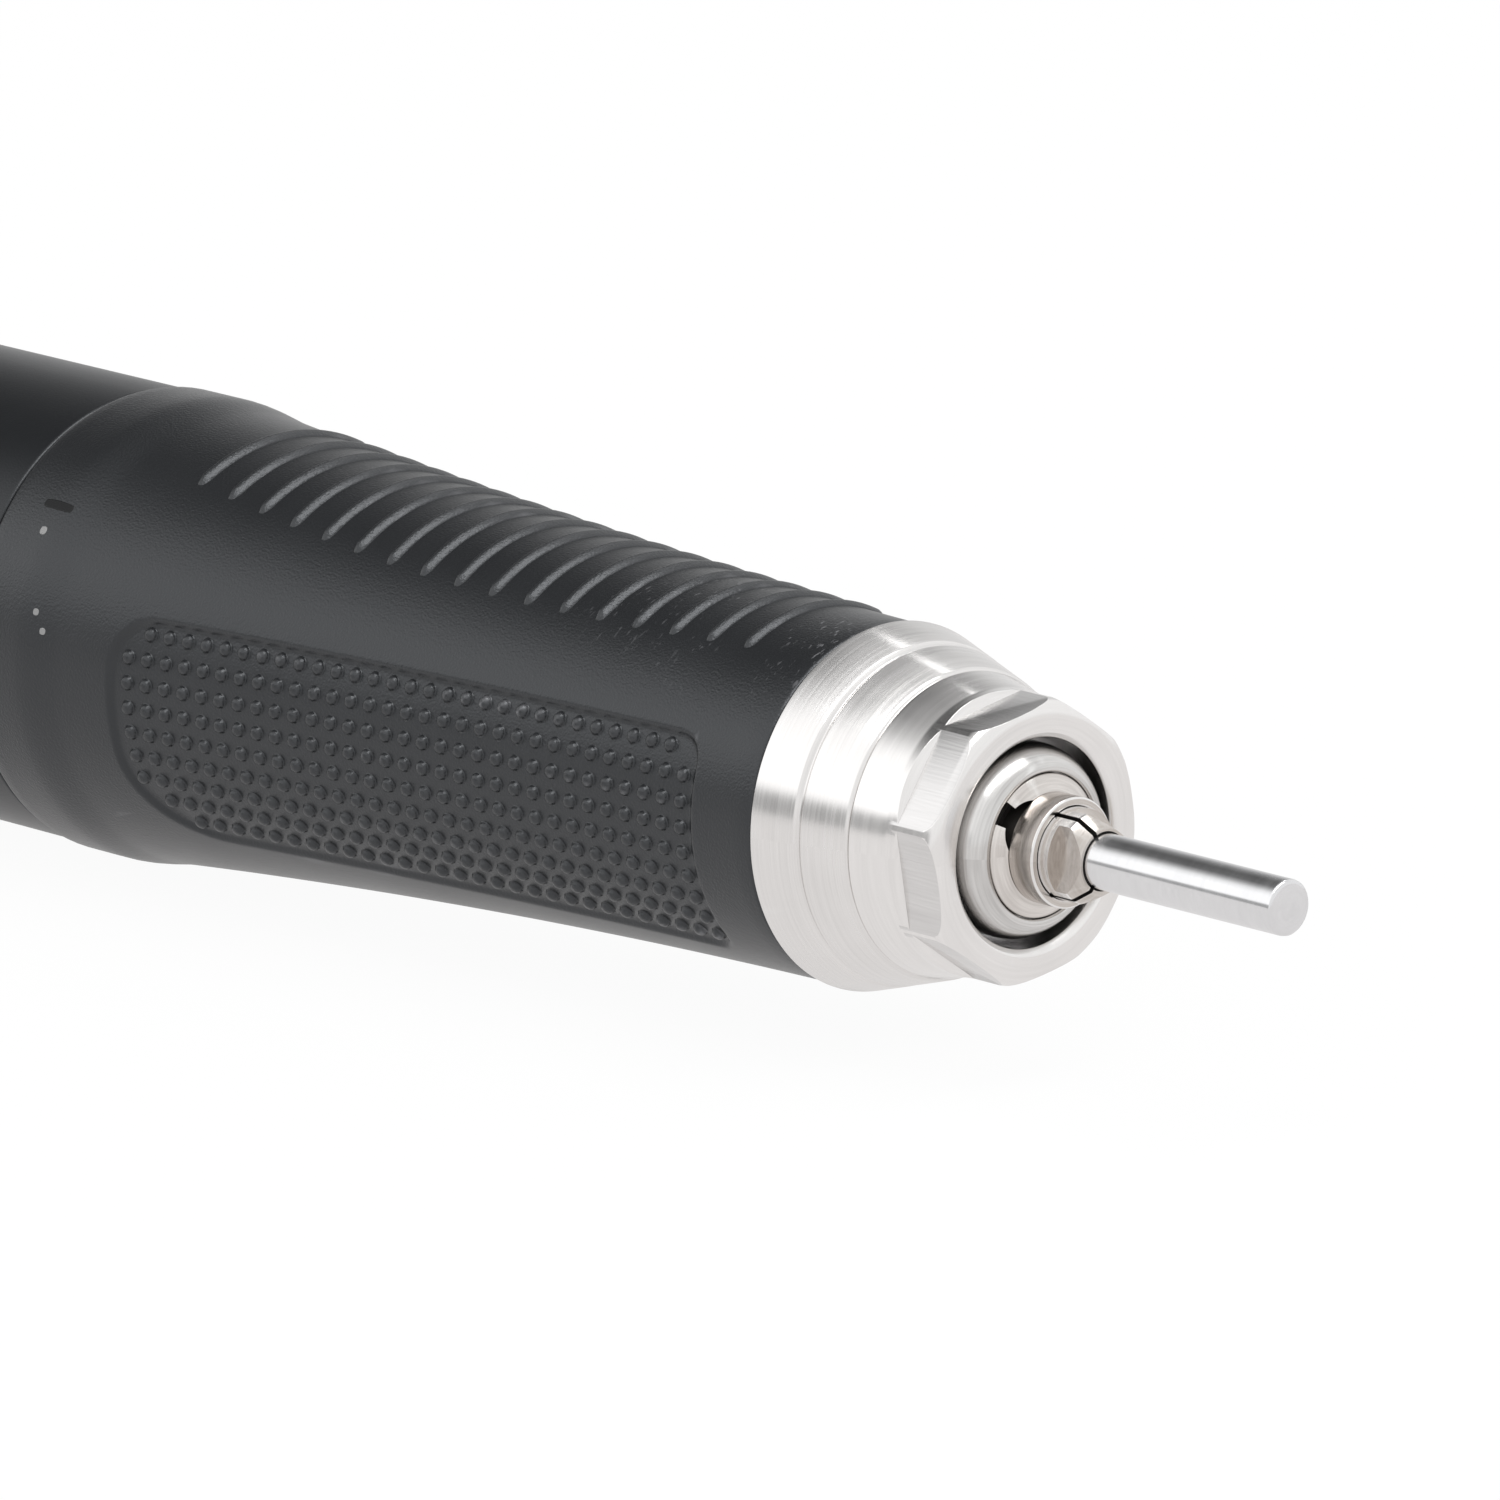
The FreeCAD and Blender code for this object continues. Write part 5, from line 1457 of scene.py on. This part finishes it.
        def milled(centre: Vector, normal: Vector) -> bool:
            """Whether a face lies on one of the flats."""
            turn = math.radians(self.flat_turn)
            out = math.atan2(centre.z, centre.y) - turn
            nearest = round(out / math.radians(pitch)) * math.radians(pitch) + turn
            reach = centre.y * math.cos(nearest) + centre.z * math.sin(nearest)
            return abs(reach - self.flat_radius) < 0.02 and abs(normal.x) < 0.1

        finish_faces(obj, MILLED_STEEL, milled)

    def build(self) -> None:
        """Make the cone and the nut."""
        self.cone()
        self.nut()


@dataclass
class SpindleNose:
    """What turns inside the nut: the domed nose, its snap ring and the hollow shaft."""

    dome_rear: float = 122.68
    dome_front: float = 126.55
    dome_radius: float = 4.1
    dome_crown: float = 1.52
    dome_crown_radius: float = 3.3
    dome_steps: int = 16
    lip_radius: float = 3.06
    lip_rise: float = 0.08
    lip_drop: float = 0.12
    ring_seat: float = 125.93
    seat_shade: float = 2.58
    tube_radius: float = 2.32
    tube_front: float = 128.16
    tube_gap: float = 0.03
    neck_depth: float = 0.2
    rim_bevel: float = 0.07
    mouth_bevel: float = 0.06
    ring_radius: float = 3.02
    ring_thickness: float = 0.55
    ring_rise: float = 0.33
    ring_opening: float = 20.0
    ring_turn: float = 143.4
    relief_line: float = 1.298
    relief_radius: float = 1.361
    shaft_radius: float = 2.5
    spindle_rear: float = 70.95
    flange_rear: float = 103.03
    flange_front: float = 104.53
    flange_radius: float = 3.5
    bore_end: float = 92.53
    bore: float = 1.63
    head_bore: float = 1.97
    head_rear: float = 127.43
    body_front: float = 123.43
    pin_line: float = 95.58
    pin_travel: float = 0.75
    pin_slot: float = 0.7

    def dome(self) -> None:
        """The polished dome that fills the nut's bore."""
        rise = self.dome_radius - self.dome_crown_radius
        crown = (self.dome_crown**2 + rise**2) / (2 * rise)
        shoulder = self.dome_front - self.dome_crown
        centre = self.dome_radius - crown
        arc = []
        for step in range(1, self.dome_steps):
            x = shoulder + self.dome_crown * math.sin(math.pi / 2 * step / self.dome_steps)
            arc.append((x, centre + math.sqrt(crown**2 - (x - shoulder) ** 2), 0.0))
        bore = self.tube_radius + self.tube_gap
        obj = lathe(
            "spindle_dome",
            [
                (self.dome_rear, bore, 0),
                (self.dome_rear, self.dome_radius, 0.15),
                (shoulder, self.dome_radius, 0),
                *arc,
                (self.dome_front, self.dome_crown_radius, 0.06),
                (self.dome_front, self.lip_radius + self.lip_rise, 0.05),
                (self.dome_front - self.lip_drop, self.lip_radius, 0.04),
                (self.ring_seat, self.lip_radius, 0),
                (self.ring_seat, self.seat_shade, 0),
                (self.ring_seat, bore, 0),
            ],
        )
        # The dome's darker steel is painted shade from the nut's bore.
        dress(obj, DOME_STEEL, Body.SPINDLE, ["spindle_nose"])

        def deep(centre: Vector, normal: Vector) -> bool:
            """Whether a face is the inner part of the ring's seat, which no light reaches."""
            low = centre.x < self.ring_seat + SLACK and off_axis(centre) < self.seat_shade
            return normal.x > 0.9 and low

        finish_faces(obj, SHADE_STEEL, deep)

    def ring(self) -> None:
        """The snap ring that keeps the dome on the shaft, with its open ends rounded."""
        seat = self.tube_radius - self.neck_depth + self.tube_gap
        front = self.ring_seat + self.ring_thickness + self.ring_rise
        obj = lathe(
            "snap_ring_band",
            [
                (self.ring_seat, seat, 0),
                (self.ring_seat, self.ring_radius, 0.05),
                (self.ring_seat + self.ring_thickness, self.ring_radius, 0.09),
                (front, self.tube_radius, 0.03),
                (front, seat, 0),
            ],
            steps=110,
            degrees=360 - self.ring_opening,
            middle=self.ring_turn + 180,
        )
        clear_selection()
        centre = polar((self.ring_seat + front) / 2, self.relief_line, self.ring_turn)
        bpy.ops.mesh.primitive_cylinder_add(
            vertices=72, radius=self.relief_radius * MM, depth=2 * MM,
            location=centre, rotation=(0, math.pi / 2, 0),
        )
        cutter = bpy.context.object
        bpy.ops.object.transform_apply(location=True, rotation=True, scale=True)
        cut_away(obj, [cutter])
        tidy_mesh(obj, smooth=30)
        ease_edges(obj, 0.06, angle=40, segments=3)
        dress(obj, RING_STEEL, Body.SPINDLE, ["snap_ring"])

    def shaft(self) -> None:
        """The hollow spindle shaft, open at the front for the collet."""
        front = self.ring_seat + self.ring_thickness + self.ring_rise + self.tube_gap
        groove = self.ring_seat - self.tube_gap
        neck = self.tube_radius - self.neck_depth
        obj = lathe(
            "hollow_shaft",
            [
                (self.spindle_rear, 0, 0),
                (self.spindle_rear, self.shaft_radius, 0.15),
                (self.flange_rear, self.shaft_radius, 0),
                (self.flange_rear, self.flange_radius, 0.1),
                (self.flange_front, self.flange_radius, 0.1),
                (self.flange_front, self.shaft_radius, 0),
                (self.dome_rear, self.shaft_radius, 0.05),
                (self.dome_rear, self.tube_radius, 0),
                (groove, self.tube_radius, 0),
                (groove, neck, 0),
                (front, neck, 0),
                (front, self.tube_radius, 0.03),
                (self.tube_front - self.rim_bevel, self.tube_radius, 0.02),
                (self.tube_front, self.tube_radius - self.rim_bevel, 0.02),
                (self.tube_front, self.head_bore + self.mouth_bevel, 0.02),
                (self.tube_front - self.mouth_bevel, self.head_bore, 0),
                (self.head_rear, self.head_bore, 0),
                (self.body_front, self.bore, 0),
                (self.bore_end, self.bore, 0),
                (self.bore_end, 0, 0),
            ],
            closed=False,
            steps=128,
        )
        half = self.pin_slot
        low = (self.pin_line - half, -self.flange_radius, -half)
        high = (self.pin_line + self.pin_travel + half, self.flange_radius, half)
        cut_away(obj, [block(low, high)])
        tidy_mesh(obj, smooth=35)
        dress(obj, CHUCK_STEEL, Body.SPINDLE, ["spindle_shaft"])

        def rim(centre: Vector, normal: Vector) -> bool:
            """Whether a face is on the bevel at the shaft's mouth: the lighter steel there paints a
            highlight on top of its own reflection.
            """
            return centre.x > self.tube_front - self.rim_bevel - 0.03 and 0.12 < normal.x < 0.95

        def groove_floor(centre: Vector, _: Vector) -> bool:
            """Whether a face is in the groove under the snap ring, which takes the painted shadow."""
            under = off_axis(centre) < self.tube_radius - 0.05
            return groove - SLACK < centre.x < front + SLACK and under

        # Painted highlight: the lighter nut steel on the mouth's bevel.
        finish_faces(obj, NUT_STEEL, rim)
        # Painted shadow in the groove under the snap ring.
        finish_faces(obj, PAINTED_SHADOW_STEEL, groove_floor)

    def build(self) -> None:
        """Make the turning pieces of the nose."""
        self.dome()
        self.ring()
        self.shaft()


@dataclass
class Chuck:
    """The split collet and the tool shank that it grips."""

    spigot_rear: float = 101.03
    rear: float = 104.03
    spigot_radius: float = 1.1
    body_radius: float = 1.6
    body_front: float = 123.43
    head_rear: float = 127.43
    head_radius: float = 1.94
    shoulder: float = 129.35
    mouth: float = 130.03
    mouth_radius: float = 1.38
    mouth_bevel: float = 0.06
    bore: float = 1.19
    bore_end: float = 105.83
    jaws: int = 3
    flat_radius: float = 1.37
    flat_rear: float = 1.36
    flat_turn: float = -34.65
    slit_width: float = 0.22
    slit_length: float = 18.0
    slit_turn: float = 25.35
    cutter_half: float = 2.5
    cutter_reach: float = 3.0
    cutter_past: float = 0.5
    tool_radius: float = 1.175
    tool_rear: float = 106.1
    tool_tip: float = 140.6
    tool_bevel: float = 0.15

    def collet(self) -> None:
        """The collet with its three flats and three slits."""
        obj = lathe(
            "split_collet",
            [
                (self.spigot_rear, 0, 0),
                (self.spigot_rear, self.spigot_radius, 0.1),
                (self.rear, self.spigot_radius, 0),
                (self.rear, self.body_radius, 0.1),
                (self.body_front, self.body_radius, 0),
                (self.head_rear, self.head_radius, 0.2),
                (self.shoulder, self.head_radius, 0.09),
                (self.mouth, self.mouth_radius, 0.05),
                (self.mouth, self.bore + self.mouth_bevel, 0),
                (self.mouth - self.mouth_bevel, self.bore, 0),
                (self.bore_end, self.bore, 0),
                (self.bore_end, 0, 0),
            ],
            closed=False,
            steps=120,
        )
        half = self.slit_width / 2
        cuts = (
            (self.flat_rear, self.cutter_half, self.flat_radius, self.flat_turn),
            (self.slit_length, half, 0.0, self.slit_turn),
        )
        turns = [360 / self.jaws * k for k in range(self.jaws)]
        for turn in turns:
            for length, side, floor, first in cuts:
                low = (self.mouth - length, -side, floor)
                high = (self.mouth + self.cutter_past, side, self.cutter_reach)
                cut_away(obj, [block(low, high, first + turn)])
        tidy_mesh(obj, smooth=25)
        ease_edges(obj, 0.035, angle=24)
        dress(obj, CHUCK_STEEL, Body.CHUCK, ["collet"])

        def head(centre: Vector, _: Vector) -> bool:
            """Whether a face is on the bright turned rim of the head."""
            return centre.x > self.head_rear and off_axis(centre) > self.head_radius - 0.02

        def takes_painted_shadow(centre: Vector, normal: Vector) -> bool:
            """Whether a face takes the painted shadow: a wall of one of the slits, or the edge round the
            tool.
            """
            inside = off_axis(centre) < self.bore + self.mouth_bevel
            if centre.x > self.mouth - 2 * self.mouth_bevel and inside:
                return True
            for turn in turns:
                at = math.radians(self.slit_turn + turn)
                side = centre.y * math.cos(at) + centre.z * math.sin(at)
                up = centre.z * math.cos(at) - centre.y * math.sin(at)
                if up > 0 and abs(abs(side) - half) < SLACK and abs(normal.x) < 0.3:
                    return True
            return False

        finish_faces(obj, NUT_STEEL, head)
        # Painted shadow on the slit walls and round the tool's root.
        finish_faces(obj, PAINTED_SHADOW_STEEL, takes_painted_shadow)

    def tool(self) -> None:
        """The polished shank."""
        obj = lathe(
            "polished_shank",
            [
                (self.tool_rear, 0, 0),
                (self.tool_rear, self.tool_radius, self.tool_bevel),
                (self.tool_tip, self.tool_radius, 0.2),
                (self.tool_tip, 0, 0),
            ],
            closed=False,
            steps=96,
        )
        dress(obj, TOOL_STEEL, Body.TOOL, ["tool_shank"])

    def build(self) -> None:
        """Make the collet and the shank."""
        self.collet()
        self.tool()


@dataclass
class InnerWorks:
    """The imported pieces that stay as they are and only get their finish."""

    frame: dict

    def build(self) -> None:
        """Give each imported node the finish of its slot."""
        slots = {part["node"]: part["material_slot"] for part in self.frame["record"]["subparts"]}
        for name, obj in self.frame["nodes"].items():
            obj.data.materials.clear()
            obj.data.materials.append(INNER_FINISHES[slots[name]].build())
        LOG.info("%d packed pieces dressed", len(slots))


# Stage


@dataclass
class Studio:
    """Pale floor, soft lamps and the photograph's view."""

    mouth: float = 130.03
    right: tuple[float, float, float] = (0.6871, 0.7266, 0.0)
    up: tuple[float, float, float] = (-0.1733, 0.1639, 0.9711)
    toward: tuple[float, float, float] = (0.7056, -0.6672, 0.2385)
    shift_right: float = -14.42
    shift_up: float = 4.54
    distance: float = 650.0
    lens: float = 384.0
    sensor: float = 36.0
    near_clip: float = 0.01
    floor_height: float = -10.2
    floor_size: float = 6000.0
    floor_middle: float = 100.0
    floor_share: float = 0.95
    floor_tone: tuple[float, float, float] = (0.84, 0.825, 0.82)
    floor_matte: float = 0.9
    lamp_distance: float = 600.0
    lamp_aim: float = 115.0
    front_level: float = 0.95

    # The lamps: name, direction, size in millimetres and brightness
    lamps = (
        ("overhead", (0.2, -0.03, 1.0), (240, 620), 4.0),
        ("strip", (-0.3, 0.57, 0.76), (200, 22), 3.0),
    )
    # Where the tent changes with the direction's X: from behind to ahead, then to the plain front
    side_limits = (-0.6, -0.25)
    front_limits = (0.05, 0.5)
    # The tent's brightness around the axis: degrees from +Y towards +Z, and level
    behind = (
        (-180, 0.88), (-3, 0.88), (2, 0.8), (22, 0.66), (40, 0.34), (56, 0.18), (70, 0.1),
        (95, 0.13), (108, 0.42), (122, 1.0), (136, 1.3), (165, 1.3), (170, 0.45), (180, 0.4),
    )
    ahead = (
        (-180, 0.88), (-3, 0.88), (2, 0.95), (40, 0.95), (58, 0.82), (76, 0.52), (98, 0.5),
        (110, 0.65), (124, 1.2), (165, 1.4), (170, 0.45), (180, 0.4),
    )

    def camera(self) -> None:
        """A long lens that looks at the nose from the front left, a little above."""
        right, up, toward = Vector(self.right), Vector(self.up), Vector(self.toward)
        target = Vector((self.mouth, 0, 0)) + right * self.shift_right + up * self.shift_up
        data = bpy.data.cameras.new("view")
        data.lens = self.lens
        data.sensor_width = self.sensor
        data.clip_start = self.near_clip
        obj = bpy.data.objects.new("view", data)
        bpy.context.scene.collection.objects.link(obj)
        turn = Matrix((right, up, toward)).transposed().to_4x4()
        obj.matrix_world = Matrix.Translation((target + toward * self.distance) * MM) @ turn
        bpy.context.scene.camera = obj

    def floor(self) -> None:
        """A wide pale floor that keeps the soft shadow."""
        clear_selection()
        spot = (self.floor_middle * MM, 0, self.floor_height * MM)
        bpy.ops.mesh.primitive_plane_add(size=self.floor_size * MM, location=spot)
        obj = bpy.context.object
        obj.name = "floor"
        material = bpy.data.materials.new("pale_floor")
        material.use_nodes = True
        nodes = Nodes(material.node_tree)
        path = nodes.add("ShaderNodeLightPath").outputs
        seen = nodes.math("MAXIMUM", path["Is Camera Ray"], path["Is Glossy Ray"])
        seen = nodes.math("MAXIMUM", seen, path["Is Transmission Ray"])
        matte = nodes.add("ShaderNodeBsdfDiffuse", {"Color": (*(self.floor_matte,) * 3, 1.0)})
        level = nodes.mix(path["Is Camera Ray"], (*self.floor_tone, 1), (1, 1, 1, 1))
        glow = nodes.add("ShaderNodeEmission", {"Color": level, "Strength": 1.0})
        share = nodes.math("MULTIPLY", seen, self.floor_share)
        both = nodes.add("ShaderNodeMixShader", {0: share, 1: matte.outputs[0], 2: glow.outputs[0]})
        nodes.add("ShaderNodeOutputMaterial", {"Surface": both.outputs[0]})
        obj.data.materials.append(material)

    def lamp(self, name: str, way: Sequence[float], size: Point, level: float) -> None:
        """A rectangular soft lamp aimed at the handpiece.

        Args:
            name: Name of the lamp.
            way: Direction in which it hangs.
            size: Its length beside the axis and its width across, in millimetres.
            level: How bright its face is, where 1 is white.
        """
        data = bpy.data.lights.new(name, "AREA")
        data.shape = "RECTANGLE"
        data.size, data.size_y = size[0] * MM, size[1] * MM
        data.energy = level * math.pi * data.size * data.size_y
        obj = bpy.data.objects.new(name, data)
        obj.visible_camera = False
        bpy.context.scene.collection.objects.link(obj)
        out = Vector(way).normalized()
        side = (Vector((1, 0, 0)) - out * out.x).normalized()
        turn = Matrix((side, out.cross(side), out)).transposed().to_4x4()
        spot = (Vector((self.lamp_aim, 0, 0)) + out * self.lamp_distance) * MM
        obj.matrix_world = Matrix.Translation(spot) @ turn

    def world(self) -> None:
        """A white tent, open at the top behind the handpiece, and plain white to the camera."""
        world = bpy.data.worlds.new("studio")
        bpy.context.scene.world = world
        world.use_nodes = True
        nodes = Nodes(world.node_tree)
        path = nodes.add("ShaderNodeLightPath").outputs
        way = nodes.add("ShaderNodeTexCoord").outputs["Generated"]
        x, _, _, angle = nodes.split(way)
        around = nodes.math("ADD", nodes.math("MULTIPLY", angle, 0.5 / math.pi), 0.5)
        sides = []
        for levels in (self.behind, self.ahead):
            ramp = nodes.add("ShaderNodeValToRGB", {0: around})
            stops = ramp.color_ramp.elements
            for degrees, _ in levels[1:-1]:
                stops.new(degrees / 360 + 0.5)
            for stop, (_, level) in zip(stops, levels):
                stop.color = (level / 2, level / 2, level / 2, 1)
            sides.append(ramp.outputs[0])
        tent, side = sides
        front = (*(self.front_level / 2,) * 3, 1.0)
        for limits, level in ((self.side_limits, side), (self.front_limits, front)):
            tent = nodes.mix(nodes.share(x, limits, "SMOOTHSTEP"), tent, level)
        doubled = nodes.add("ShaderNodeVectorMath", {0: tent, 1: (2, 2, 2)}, operation="MULTIPLY")
        shown = nodes.mix(path["Is Camera Ray"], doubled.outputs[0], (1, 1, 1, 1))
        back = nodes.add("ShaderNodeBackground", {"Color": shown, "Strength": 1.0})
        nodes.add("ShaderNodeOutputWorld", {"Surface": back.outputs[0]})

    def build(self) -> None:
        """Set the view, the floor, the tent and the lamps."""
        bpy.context.scene.view_settings.view_transform = "Standard"
        self.camera()
        self.floor()
        self.world()
        for settings in self.lamps:
            self.lamp(*settings)


def main() -> None:
    """Build the handpiece and its studio, and report each piece."""
    logging.basicConfig(level=logging.INFO, format="%(message)s")
    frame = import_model()
    InnerWorks(frame).build()
    for assembly in (MotorEnd(), Grip(), MetalNose(), SpindleNose(), Chuck()):
        LOG.info("building %s", type(assembly).__name__)
        assembly.build()
    Studio().build()


if __name__ == "__main__":
    main()
